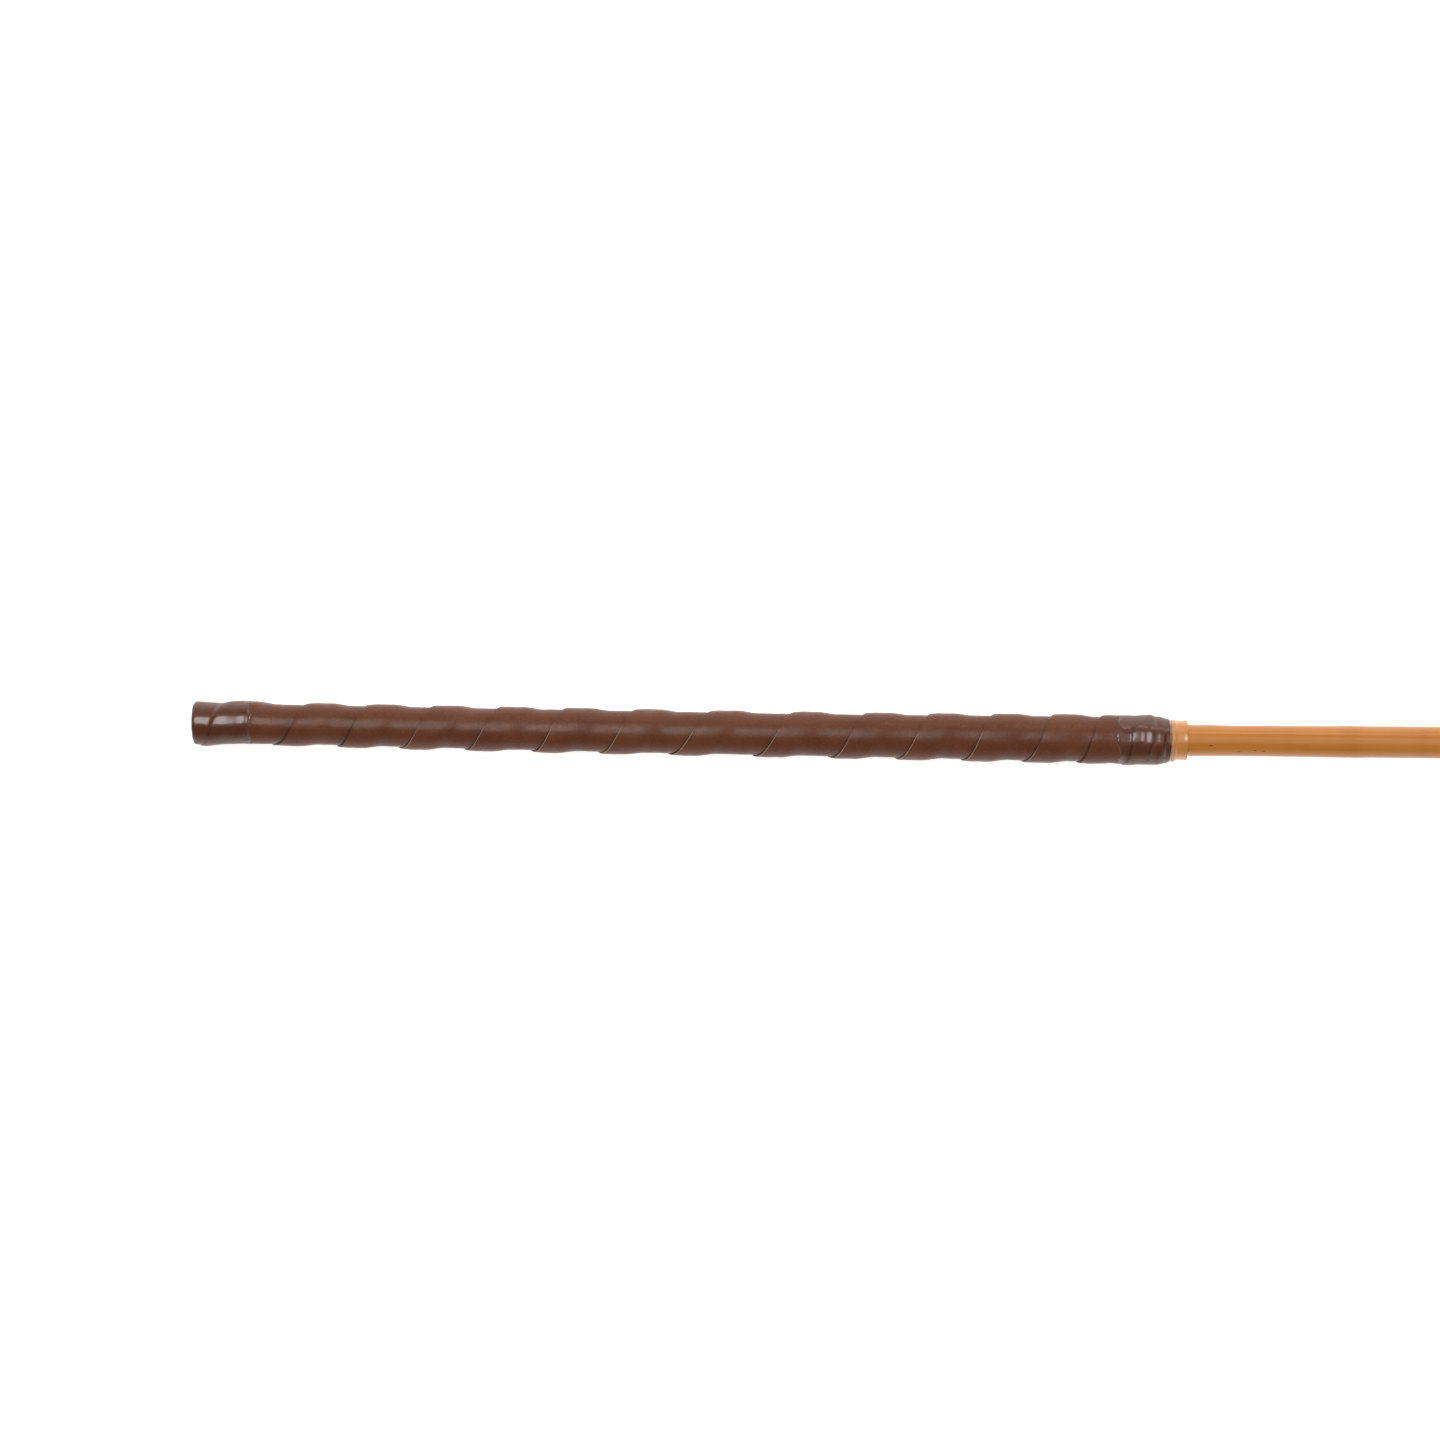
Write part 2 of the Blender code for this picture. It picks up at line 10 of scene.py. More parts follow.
import bpy
import numpy as np
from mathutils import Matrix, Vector


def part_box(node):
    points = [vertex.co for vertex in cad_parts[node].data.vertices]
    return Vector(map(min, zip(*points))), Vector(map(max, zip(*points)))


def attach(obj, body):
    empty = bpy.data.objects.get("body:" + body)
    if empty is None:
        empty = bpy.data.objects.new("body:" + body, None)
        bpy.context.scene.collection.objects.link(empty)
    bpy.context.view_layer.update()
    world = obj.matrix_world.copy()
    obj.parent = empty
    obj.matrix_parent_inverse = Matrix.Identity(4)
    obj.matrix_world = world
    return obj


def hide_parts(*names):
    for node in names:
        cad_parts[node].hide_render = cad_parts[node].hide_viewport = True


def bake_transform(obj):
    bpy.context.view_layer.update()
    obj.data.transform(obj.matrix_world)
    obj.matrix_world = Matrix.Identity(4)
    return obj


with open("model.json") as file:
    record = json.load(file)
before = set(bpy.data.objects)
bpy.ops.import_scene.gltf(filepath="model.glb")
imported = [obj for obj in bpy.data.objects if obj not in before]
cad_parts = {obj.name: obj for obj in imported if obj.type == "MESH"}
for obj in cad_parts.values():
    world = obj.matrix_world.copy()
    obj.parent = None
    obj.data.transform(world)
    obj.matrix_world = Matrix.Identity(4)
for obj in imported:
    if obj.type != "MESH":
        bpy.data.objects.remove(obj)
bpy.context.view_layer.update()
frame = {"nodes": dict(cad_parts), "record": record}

# ------------------------------------------------------------------------- the crop's measures
LENGTH = 0.700
CANE_BOW = 0.0032
CANE_START = 0.00235
CANE_END = 0.632
CANE_PROFILE = (
    (CANE_START, 0.00455), (0.150, 0.00465), (0.300, 0.00474), (0.315, 0.00464), (0.340, 0.00478),
    (0.347, 0.00486), (0.354, 0.00478), (0.400, 0.00478), (0.530, 0.00444), (0.537, 0.00452),
    (0.544, 0.00442), (0.596, 0.00412), (CANE_END, 0.00408),
)
FLAT_START = 0.600
FLAT_RUN = 0.006
TONGUE_HALF = 0.0017

GRIP_START = 0.0024
GRIP_END = 0.2932
STRAP_THICKNESS = 0.00060
STRAP_GAP = 0.00006
LAP_WIDTH = 0.0068
LAP_SLOPE = 0.0062
FIRST_TURN = -1.3
LAST_TURN = 16.2
SKIVE_TURNS = 0.25
SKIVED_SHARE = 0.15
THINNING_START = 13.4
THINNING_END = 14.6
THINNED_SHARE = 0.6
LAP_EDGE = (
    (-1, -0.0150), (0, 0.0030), (0.5, 0.0116), (1, 0.0255), (1.5, 0.0351), (2, 0.0441),
    (3, 0.0630), (4, 0.0828), (5, 0.1026), (6, 0.1230), (7, 0.1440), (8, 0.1692), (9, 0.1920),
    (10, 0.2121), (11, 0.2313), (12, 0.2499), (13, 0.2661), (14, 0.2793), (14.5, 0.2832),
    (15, 0.2862), (16, 0.2905), (17, 0.2935),
)
CORE_PROFILE = (
    (GRIP_START, 0.00530), (0.0065, 0.00510), (0.011, 0.00500), (0.030, 0.00530), (0.110, 0.00570),
    (0.200, 0.00587), (0.250, 0.00612), (0.271, 0.00615), (0.278, 0.00598), (0.2845, 0.00606),
    (0.288, 0.00586), (0.2905, 0.00545), (GRIP_END, 0.00490),
)

BUTT_FILM_END = 0.0174
COLLAR_FILM_START = 0.2781
COLLAR_FILM_END = 0.2983
TIP_FILM_START = 0.5990
TIP_FILM_END = 0.6315

HINGE = frame["record"]["behaviour"]["joints"][0]
HINGE_STATION = 0.6357
TAIL_START = 0.6075


def smooth(share):
    share = np.clip(share, 0.0, 1.0)
    return share * share * (3 - 2 * share)


def through(points, x):
    """Values at x of a smooth curve through (x, value) points, straight beyond its ends."""
    xs, ys = np.array(points, float).T
    low, high = np.maximum(np.arange(len(xs)) - 1, 0), np.minimum(np.arange(len(xs)) + 1, len(xs) - 1)
    slopes = (ys[high] - ys[low]) / (xs[high] - xs[low])
    x = np.asarray(x, float)
    i = np.clip(np.searchsorted(xs, x) - 1, 0, len(xs) - 2)
    run = xs[i + 1] - xs[i]
    t = np.clip((x - xs[i]) / run, 0.0, 1.0)
    inside = (
        ys[i] * (1 + 2 * t) * (1 - t) ** 2
        + slopes[i] * run * t * (1 - t) ** 2
        + ys[i + 1] * t * t * (3 - 2 * t)
        + slopes[i + 1] * run * t * t * (t - 1)
    )
    beyond = slopes[0] * np.minimum(x - xs[0], 0.0) + slopes[-1] * np.maximum(x - xs[-1], 0.0)
    return inside + beyond


def bow(station):
    share = np.asarray(station) / LENGTH
    return -4 * CANE_BOW * share * (1 - share)


BUTT_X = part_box("butt_sleeve")[0].x
AXIS_Z = HINGE["pos_m"][2]
AXIS_Y = HINGE["pos_m"][1] - float(bow(HINGE_STATION))


def on_crop(station, across, up):
    """Points in the row frame, from stations and distances from the bowed centre line."""
    station, across, up = np.broadcast_arrays(station, across, up)
    return np.stack([BUTT_X + station, AXIS_Y + bow(station) + across, AXIS_Z + up], axis=-1)


def wander(seed, points, wavelength, octaves=2):
    """Smooth random values of about -1 to 1 at points, from waves in seeded directions."""
    draw = np.random.default_rng(seed)
    total = np.zeros(np.asarray(points).shape[:-1])
    for octave in range(octaves):
        for _ in range(6):
            way = draw.normal(size=3)
            way *= 2 * math.pi * draw.uniform(0.7, 1.3) * 2**octave / wavelength / np.linalg.norm(way)
            total += np.sin(points @ way + draw.uniform(0, 2 * math.pi)) / 2**octave
    return total / 3.2


# ------------------------------------------------------------------------------ mesh building

def make_piece(name, points, faces, materials, body=None, replaced=(), flat=False):
    """A mesh object from points and faces, given to a body and standing for CAD nodes."""
    mesh = bpy.data.meshes.new(name)
    mesh.from_pydata([tuple(p) for p in np.asarray(points, float)], [], faces)
    mesh.validate()
    if not flat:
        mesh.shade_smooth()
    piece = bpy.data.objects.new(name, mesh)
    bpy.context.scene.collection.objects.link(piece)
    for material in materials:
        mesh.materials.append(material)
    if replaced:
        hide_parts(*replaced)
    if body:
        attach(piece, body)
    return piece


def grid_faces(rows, columns, wrap_rows=False, wrap_columns=False, first=0):
    """Faces between the points of a grid, numbered row by row."""
    faces = []
    for i in range(rows if wrap_rows else rows - 1):
        below, above = first + i * columns, first + (i + 1) % rows * columns
        for j in range(columns if wrap_columns else columns - 1):
            k = (j + 1) % columns
            faces.append((below + j, below + k, above + k, above + j))
    return faces


def add_attribute(piece, name, values):
    attribute = piece.data.attributes.new(name, "FLOAT", "POINT")
    attribute.data.foreach_set("value", np.asarray(values, np.float32).ravel())


def add_place(piece):
    """Keeps each point's place at rest as an attribute that textures read."""
    attribute = piece.data.attributes.new("place", "FLOAT_VECTOR", "POINT")
    places = np.array([v.co for v in piece.data.vertices], np.float32)
    attribute.data.foreach_set("vector", places.ravel())


def sharpen(piece, degrees):
    piece.data.set_sharp_from_angle(angle=math.radians(degrees))


def ring_shell(name, stations, radii, materials, body, replaced, close=True):
    """A piece round the crop's axis from rows of stations and radii, one column an angle.
    A closed shell's rows come back round to its first row, and an open one is capped at its ends."""
    rows, columns = radii.shape
    angle = np.linspace(0, 2 * math.pi, columns, endpoint=False)
    points = on_crop(stations, -radii * np.cos(angle), radii * np.sin(angle)).reshape(-1, 3)
    faces = grid_faces(rows, columns, wrap_rows=close, wrap_columns=True)
    if not close:
        faces.append(tuple(range(columns))[::-1])
        faces.append(tuple(range((rows - 1) * columns, rows * columns)))
    faces = [face[::-1] for face in faces]
    return make_piece(name, points, faces, materials, body, replaced)


def tube(path, radius, sides, closed=False, ply=0, twist=0.0):
    """Points and faces of a round thread along a path, with plies twisted into it if asked."""
    path = np.asarray(path, float)
    ahead = np.roll(path, -1, 0) - np.roll(path, 1, 0)
    if not closed:
        ahead[0], ahead[-1] = path[1] - path[0], path[-1] - path[-2]
    ahead /= np.linalg.norm(ahead, axis=1)[:, None]
    steps = np.linalg.norm(np.diff(path, axis=0), axis=1)
    length = np.concatenate([[0], np.cumsum(steps)])
    side = np.cross(ahead[0], (0.3, 0.5, 0.8))
    points = []
    for here, way, along in zip(path, ahead, length):
        side = side - way * (side @ way)
        side /= np.linalg.norm(side)
        other = np.cross(way, side)
        angle = np.linspace(0, 2 * math.pi, sides, endpoint=False)
        swell = radius * (1 + 0.10 * np.cos(ply * angle - twist * along)) if ply else radius
        ring = np.cos(angle)[:, None] * side + np.sin(angle)[:, None] * other
        points.append(here + ring * np.reshape(swell, (-1, 1)))
    points = np.concatenate(points)
    faces = grid_faces(len(path), sides, wrap_rows=closed, wrap_columns=True)
    if not closed:
        faces.append(tuple(range(sides))[::-1])
        faces.append(tuple(range((len(path) - 1) * sides, len(path) * sides)))
    return points, faces


def joined(solids):
    """One set of points and faces from several."""
    points, faces, first = [], [], 0
    for some_points, some_faces in solids:
        points.append(some_points)
        faces += [tuple(first + i for i in face) for face in some_faces]
        first += len(some_points)
    return np.concatenate(points), faces


# ---------------------------------------------------------------------------------- materials

class Paint:
    """A material in the making: a Principled shader and the nodes that vary it."""

    def __init__(self, name, **plain):
        self.material = bpy.data.materials.new(name)
        self.material.use_nodes = True
        self.nodes = self.material.node_tree.nodes
        self.links = self.material.node_tree.links
        self.shader = self.nodes["Principled BSDF"]
        self.output = self.nodes["Material Output"]
        self.place = self.add("ShaderNodeTexCoord").outputs["Object"]
        for socket, value in plain.items():
            self.shader.inputs[socket.replace("_", " ")].default_value = value

    def add(self, kind, inputs=None, **settings):
        node = self.nodes.new(kind)
        for key, value in settings.items():
            setattr(node, key, value)
        for key, value in (inputs or {}).items():
            self.feed(node.inputs[key], value)
        return node

    def feed(self, socket, value):
        if isinstance(value, bpy.types.NodeSocket):
            self.links.new(value, socket)
        elif socket.type == "RGBA" and len(value) == 3:
            socket.default_value = (*value, 1.0)
        else:
            socket.default_value = value

    def attribute(self, name, vector=False):
        node = self.add("ShaderNodeAttribute", attribute_name=name)
        return node.outputs["Vector" if vector else "Fac"]

    def stretched(self, scales):
        return self.add("ShaderNodeMapping", {"Vector": self.place, "Scale": scales}).outputs[0]

    def noise(self, scale, detail=2.0, roughness=0.5, place=None):
        inputs = {"Vector": place or self.place, "Scale": scale, "Detail": detail, "Roughness": roughness}
        return self.add("ShaderNodeTexNoise", inputs).outputs[0]

    def cells(self, scale):
        inputs = {"Vector": self.place, "Scale": scale}
        return self.add("ShaderNodeTexVoronoi", inputs).outputs["Distance"]

    def math(self, operation, *values, clamp=False):
        inputs = dict(enumerate(values))
        return self.add("ShaderNodeMath", inputs, operation=operation, use_clamp=clamp).outputs[0]

    def span(self, value, low, high, to_low=0.0, to_high=1.0):
        inputs = {0: value, 1: low, 2: high, 3: to_low, 4: to_high}
        return self.add("ShaderNodeMapRange", inputs).outputs[0]

    def mix(self, share, first, second):
        node = self.add("ShaderNodeMix", data_type="RGBA")
        for index, value in ((0, share), (6, first), (7, second)):
            self.feed(node.inputs[index], value)
        return node.outputs[2]

    def bump(self, height, distance, strength=1.0, normal=None):
        inputs = {"Height": height, "Distance": distance, "Strength": strength}
        if normal:
            inputs["Normal"] = normal
        return self.add("ShaderNodeBump", inputs).outputs[0]

    def use(self, **sockets):
        for name, value in sockets.items():
            self.feed(self.shader.inputs[name.replace("_", " ")], value)
        return self.material


def paint_leather(name, dark, middle, pale, raw, place=None, roughness=(0.27, 0.38)):
    """Finished leather: pebbled grain, pull-up in its colour, and raw fibres where raw is 1."""
    paint = Paint(name)
    if place:
        paint.place = paint.attribute(place, vector=True)
    cloud = paint.noise(85, 3, 0.55)
    speckle = paint.noise(1500, 2, 0.6)
    colour = paint.mix(paint.span(cloud, 0.32, 0.68), dark, middle)
    colour = paint.mix(paint.span(speckle, 0.50, 0.72, 0.0, 0.42), colour, pale)
    pores = paint.cells(1500)
    colour = paint.mix(paint.span(pores, 0.0, 0.30, 0.35, 0.0), colour, dark)
    # Painted shade: near-black where the shade attribute is high, in the strap's seams and along the
    # keeper's crease lines.
    crease = paint.attribute("crease")
    colour = paint.mix(paint.span(crease, 0.0, 1.0, 0.0, 0.80), colour, (0.018, 0.007, 0.005))
    fibre = paint.noise(2600, 3, 0.7)
    raw_colour = paint.mix(paint.span(fibre, 0.3, 0.7), [c * 0.62 for c in raw], raw)
    bare = paint.attribute("raw")
    colour = paint.mix(paint.span(bare, 0.35, 0.65), colour, raw_colour)
    wet = paint.attribute("wet")
    colour = paint.mix(paint.math("MULTIPLY", wet, 0.30), colour, (0.085, 0.024, 0.011))
    grain = paint.math("ADD", paint.math("MULTIPLY", pores, 0.70), paint.noise(2600, 2, 0.6))
    wrinkle = paint.noise(420, 4, 0.6)
    normal = paint.bump(wrinkle, 0.00008, 0.40)
    normal = paint.bump(grain, 0.00006, 0.60, normal)
    shine = paint.span(paint.noise(240, 3, 0.6), 0.3, 0.7, *roughness)
    shine = paint.math("MAXIMUM", shine, paint.math("MULTIPLY", bare, 0.9))
    smear = paint.attribute("smear")
    shine = paint.math("MULTIPLY", shine, paint.span(smear, 0.0, 1.0, 1.0, 0.60))
    reflecting = paint.span(wet, 0.0, 1.0, 0.20, 0.02)
    return paint.use(Base_Color=colour, Roughness=shine, Specular_IOR_Level=reflecting, Normal=normal)


CLEAR_IOR = 1.64          # of film and glue, high enough for highlights as strong as real ones


def see_through(paint, haze, clearness, gloss_roughness, relief, dulled=0.0):
    """Finishes a clear material: haze in its body, and mirroring on the side that faces out.
    Where dulled is above 0, it mirrors less."""
    facing = paint.math("SUBTRACT", 1.0, paint.add("ShaderNodeNewGeometry").outputs["Backfacing"])
    clear = paint.add("ShaderNodeBsdfTransparent", {"Color": clearness}).outputs[0]
    hazed = paint.math("MULTIPLY", haze, facing, clamp=True)
    body = paint.add("ShaderNodeMixShader", {0: hazed, 1: clear, 2: paint.shader.outputs[0]})
    gloss = paint.add("ShaderNodeBsdfGlossy", {"Roughness": gloss_roughness, "Normal": relief})
    mirror = paint.add("ShaderNodeFresnel", {"IOR": CLEAR_IOR, "Normal": relief}).outputs[0]
    mirror = paint.math("MULTIPLY", mirror, facing)
    mirror = paint.math("MULTIPLY", mirror, paint.math("SUBTRACT", 1.0, dulled))
    shown = paint.add("ShaderNodeMixShader", {0: mirror, 1: body.outputs[0], 2: gloss.outputs[0]})
    paint.links.new(shown.outputs[0], paint.output.inputs["Surface"])
    return paint.use(Normal=relief)


def paint_film(name, milk, cast):
    """Clear shrink film: it mirrors like gloss plastic and shows what is behind it, except where
    it is thick with glue over the cane."""
    paint = Paint(name, Roughness=0.30)
    ripple = paint.bump(paint.noise(260, 2, 0.5), 0.00012, 0.5)
    cloud = paint.span(paint.noise(300, 3, 0.6), 0.35, 0.75, milk * 0.7, milk * 1.3)
    haze = paint.math("MULTIPLY_ADD", paint.attribute("rim"), 0.03, cloud)
    thick = paint.attribute("thick")
    haze = paint.math("MULTIPLY_ADD", thick, 0.92, haze)
    paint.use(Base_Color=paint.mix(thick, cast, (0.640, 0.260, 0.055)))
    dulled = paint.math("MULTIPLY", thick, 0.55)
    return see_through(paint, haze, (0.985, 0.975, 0.965), 0.22, ripple, dulled)


def paint_glue():
    """Hot-melt squeezed out at a rim: glossy, lumpy and half clear."""
    paint = Paint("glue", Roughness=0.12, Base_Color=(0.24, 0.13, 0.08, 1.0))
    lumps = paint.bump(paint.noise(1500, 2, 0.5), 0.0002, 0.6)
    haze = paint.span(paint.noise(900, 2, 0.5), 0.3, 0.7, 0.02, 0.10)
    return see_through(paint, haze, (0.92, 0.88, 0.83), 0.08, lumps)


# Small dark scars on the cane's skin: (station, share of the half width towards -Y, half length).
CANE_SCARS = (
    (0.3052, 0.33, 0.0008), (0.3138, 0.70, 0.0011), (0.3186, 0.63, 0.0008), (0.3211, 0.66, 0.0006),
    (0.4620, -0.35, 0.0010), (0.5080, 0.20, 0.0008), (0.5755, -0.55, 0.0009),
)
# (station, half width, strength) of the darker bands round the cane's nodes.
CANE_BANDS = (
    (0.3285, 0.0015, 0.12), (0.3470, 0.0030, 0.22), (0.3690, 0.0014, 0.12), (0.5370, 0.0030, 0.45),
)


def paint_cane():
    """Varnished rattan: fine fibres along it, darker bands at its nodes and a few scars."""
    paint = Paint("rattan", Coat_Weight=0.70, Coat_Roughness=0.12, Specular_IOR_Level=0.12)
    fibre = paint.noise(1.0, 3, 0.6, paint.stretched((55, 2100, 2100)))
    streak = paint.noise(1.0, 3, 0.55, paint.stretched((16, 620, 620)))
    cloud = paint.noise(34, 3, 0.5)
    colour = paint.mix(paint.span(streak, 0.34, 0.66), (0.540, 0.192, 0.031), (0.600, 0.226, 0.040))
    colour = paint.mix(paint.span(fibre, 0.48, 0.72, 0.0, 0.30), colour, (0.450, 0.145, 0.026))
    colour = paint.mix(paint.span(cloud, 0.42, 0.70, 0.0, 0.40), colour, (0.640, 0.270, 0.072))
    along = paint.add("ShaderNodeSeparateXYZ", {0: paint.place}).outputs[0]
    ragged = paint.math("MULTIPLY_ADD", paint.noise(420, 3, 0.6), 0.0040, along)
    for station, half_width, strength in CANE_BANDS:
        off = paint.math("SUBTRACT", ragged, BUTT_X + station + 0.0020)
        band = paint.span(paint.math("ABSOLUTE", off), half_width * 0.5, half_width * 1.3, strength, 0.0)
        colour = paint.mix(band, colour, (0.430, 0.140, 0.025))
    fleck = paint.noise(2200, 2, 0.6)
    for station, share, half_length in CANE_SCARS:
        radius = float(through(CANE_PROFILE, station))
        centre = on_crop(station, -share * radius, math.sqrt(1 - share**2) * radius)
        off = paint.add("ShaderNodeVectorMath", {0: paint.place, 1: tuple(centre)}, operation="SUBTRACT")
        sizes = (1 / half_length, 1 / 0.00028, 1 / 0.00028)
        scaled = paint.add("ShaderNodeVectorMath", {0: off.outputs[0], 1: sizes}, operation="MULTIPLY")
        distance = paint.add("ShaderNodeVectorMath", {0: scaled.outputs[0]}, operation="LENGTH").outputs[1]
        distance = paint.math("ADD", distance, paint.span(fleck, 0.3, 0.7, -0.3, 0.6))
        scar = paint.span(distance, 0.5, 1.1, 0.85, 0.0)
        colour = paint.mix(scar, colour, (0.075, 0.028, 0.012))
    shine = paint.span(paint.noise(180, 3, 0.6), 0.3, 0.7, 0.34, 0.50)
    normal = paint.bump(fibre, 0.00003, 0.6)
    normal = paint.bump(paint.noise(1.0, 3, 0.5, paint.stretched((60, 260, 260))), 0.00008, 0.5, normal)
    return paint.use(Base_Color=colour, Roughness=shine, Normal=normal)


def paint_thread(name, dark, pale):
    """Waxed thread: fine fibres and slight soiling."""
    paint = Paint(name, Specular_IOR_Level=0.3)
    fibre = paint.noise(5200, 3, 0.7)
    soil = paint.noise(600, 2, 0.5)
    colour = paint.mix(paint.span(fibre, 0.3, 0.7), dark, pale)
    colour = paint.mix(paint.span(soil, 0.45, 0.75, 0.0, 0.5), colour, dark)
    normal = paint.bump(fibre, 0.00006, 0.8)
    return paint.use(Base_Color=colour, Roughness=paint.span(fibre, 0.3, 0.7, 0.5, 0.8), Normal=normal)


def paint_felt():
    paint = Paint("felt", Specular_IOR_Level=0.1)
    fuzz = paint.noise(2400, 4, 0.7)
    colour = paint.mix(paint.span(fuzz, 0.3, 0.7), (0.17, 0.15, 0.12), (0.36, 0.33, 0.28))
    return paint.use(Base_Color=colour, Roughness=paint.span(fuzz, 0.0, 1.0, 0.85, 1.0),
                     Normal=paint.bump(fuzz, 0.0002))


def paint_floor():
    """A pale table, lit from inside so that shadows on it are faint."""
    paint = Paint("floor", Specular_IOR_Level=0.1)
    cloud = paint.noise(3, 2, 0.5)
    colour = paint.mix(cloud, (0.80, 0.80, 0.80), (0.82, 0.82, 0.82))
    paint.use(Emission_Color=(1.0, 0.99, 0.98), Emission_Strength=0.8)
    return paint.use(Base_Color=colour, Roughness=paint.span(cloud, 0.0, 1.0, 0.8, 0.9))


GRIP_LEATHER = paint_leather(
    "grip_leather", (0.122, 0.0395, 0.0195), (0.150, 0.0505, 0.0250), (0.198, 0.079, 0.043),
    (0.50, 0.33, 0.24),
)
KEEPER_LEATHER = paint_leather(
    "keeper_leather", (0.095, 0.031, 0.017), (0.122, 0.042, 0.023), (0.165, 0.066, 0.040),
    (0.16, 0.075, 0.042), place="place", roughness=(0.36, 0.52),
)
FILM = paint_film("clear_film", 0.007, (0.72, 0.52, 0.36))
GLUE = paint_glue()
RATTAN = paint_cane()
WHIPPING_THREAD = paint_thread("whipping_thread", (0.035, 0.014, 0.008), (0.085, 0.036, 0.020))
SEAM_THREAD = paint_thread("seam_thread", (0.30, 0.17, 0.08), (0.55, 0.36, 0.19))


# ------------------------------------------------------------------------------------ the cane

def cane_radius(station):
    return through(CANE_PROFILE, station)


def make_cane():
    """The cane, slightly uneven, with its ends rounded over and flats cut at its tip."""
    stations = np.unique(np.concatenate([
        CANE_START + np.array([0.0, 0.0001, 0.0003, 0.0006]),
        np.arange(0.004, FLAT_START, 0.002),
        np.linspace(FLAT_START, FLAT_START + FLAT_RUN, 9),
        np.linspace(FLAT_START + FLAT_RUN, CANE_END - 0.0006, 12),
        CANE_END - np.array([0.0003, 0.0001, 0.0]),
    ]))
    angle = np.linspace(0, 2 * math.pi, 64, endpoint=False)
    round_end = np.minimum(stations - CANE_START, CANE_END - stations)
    radius = cane_radius(stations) - 0.0004 * (1 - np.sqrt(1 - np.clip(1 - round_end / 0.0006, 0, 1) ** 2))
    radii = np.repeat(radius[:, None], len(angle), axis=1)
    sphere = np.stack(np.broadcast_arrays(
        stations[:, None], 0.006 * np.cos(angle), 0.006 * np.sin(angle)), axis=-1)
    radii = radii + 0.000028 * wander(3, sphere, 0.030)
    slant = np.clip((stations - FLAT_START) / FLAT_RUN, 0, 1)
    half = np.where(stations < FLAT_START, 1.0, 0.0043 + (TONGUE_HALF - 0.0043) * slant)
    radii = np.minimum(radii, half[:, None] / np.maximum(np.abs(np.sin(angle)), 1e-6))
    piece = ring_shell("rattan_cane", stations[:, None], radii, [RATTAN], "shaft", ["cane"], False)
    sharpen(piece, 40)


# ------------------------------------------------------------------------------------ the grip

def lap_edge(turn):
    """Station of the strap's exposed edge, with the small wavering of hand work."""
    turn = np.asarray(turn, float)
    waver = 0.00016 * np.sin(4.1 * turn + 0.6) + 0.00010 * np.sin(9.7 * turn + 2.0)
    return through(LAP_EDGE, turn) + waver


def lap_width(turn):
    return np.minimum(LAP_WIDTH, 0.42 * (lap_edge(turn) - lap_edge(turn - 1)))


def strap_thickness(turn):
    from_ends = np.minimum(turn - FIRST_TURN, LAST_TURN - turn)
    pared = np.minimum(1.0, SKIVED_SHARE + smooth(from_ends / SKIVE_TURNS))
    thinned = (1 - THINNED_SHARE) * smooth((turn - THINNING_START) / (THINNING_END - THINNING_START))
    return STRAP_THICKNESS * pared * (1 - thinned)


def strap_underside(turn, station):
    """Radius of the strap's underside: the core, raised where the turn before lies on it."""
    lap_end = lap_edge(turn) + lap_width(turn)
    slope = np.minimum(LAP_SLOPE, lap_width(turn))
    lap = np.where(turn - 1 > FIRST_TURN - 0.001, strap_thickness(turn - 1) + STRAP_GAP, 0.0)
    return through(CORE_PROFILE, station) + lap * (1 - smooth((station - lap_end) / slope))


def start_lump(turn, station):
    """The strap's folded start swells the -Y side of the butt."""
    side = 0.5 + 0.5 * np.cos(2 * math.pi * np.asarray(turn))
    return 0.00045 * side * (1 - smooth((station - 0.0050) / 0.0060))


def tail_lumps(station, place):
    """The ridges where the strap's tail is bunched under the collar."""
    lumpy = smooth((station - 0.2840) / 0.002) * smooth((0.2948 - station) / 0.002)
    rings = 1 + np.cos(2 * math.pi * (station - 0.2873) / 0.0029)
    return lumpy * (0.00005 * (1 + wander(31, place, 0.0060)) + 0.00011 * rings)


# (station, height) of how both sides of the strap, and its -Y side alone, swell under the films.
SWELL = (
    (0.0, 0.00024), (0.0230, 0.00034), (0.0262, 0.0), (0.2800, 0.0),
    (0.2829, 0.00026), (0.2856, 0.00026), (0.2883, 0.00036), (0.2910, 0.00045), (GRIP_END, 0.00080),
)
SIDE_SWELL = (
    (0.0, 0.00020), (0.0100, -0.00015), (0.0165, 0.00015), (0.0240, 0.0), (0.2750, 0.0),
    (0.2775, 0.00060), (0.2805, 0.00060), (0.2835, 0.0), (0.2870, 0.00010), (0.2895, 0.00050),
    (0.2910, 0.00050), (GRIP_END, 0.0),
)


def swell(turn, station):
    side = 0.5 + 0.5 * np.cos(2 * math.pi * np.asarray(turn))
    return through(SWELL, station) + side * through(SIDE_SWELL, station)


def strap_face(turn, station):
    """Radius of the strap's outer face, rounded over at its exposed edge."""
    inset = station - lap_edge(turn)
    corner = np.clip(inset / 0.00030, 0.0, 1.0)
    shoulder = 0.62 + 0.18 * np.sqrt(1 - (1 - corner) ** 2) + 0.20 * smooth(inset / 0.0022)
    angle = 2 * math.pi * np.asarray(turn)
    place = np.stack(np.broadcast_arrays(station, 0.006 * np.cos(angle), 0.006 * np.sin(angle)), axis=-1)
    dents = 0.000045 * wander(11, place, 0.012) + 0.00003 * wander(12, place, 0.004)
    under = strap_underside(turn, station)
    face = under + strap_thickness(turn) * shoulder + dents + start_lump(turn, station)
    near_end = np.clip((station - GRIP_END + 0.0015) / 0.0015, 0.0, 1.0)
    face = face - 0.0005 * (1 - np.sqrt(1 - near_end**2)) + tail_lumps(station, place)
    face = face + swell(turn, station)
    return np.maximum(face, under + 0.0001)


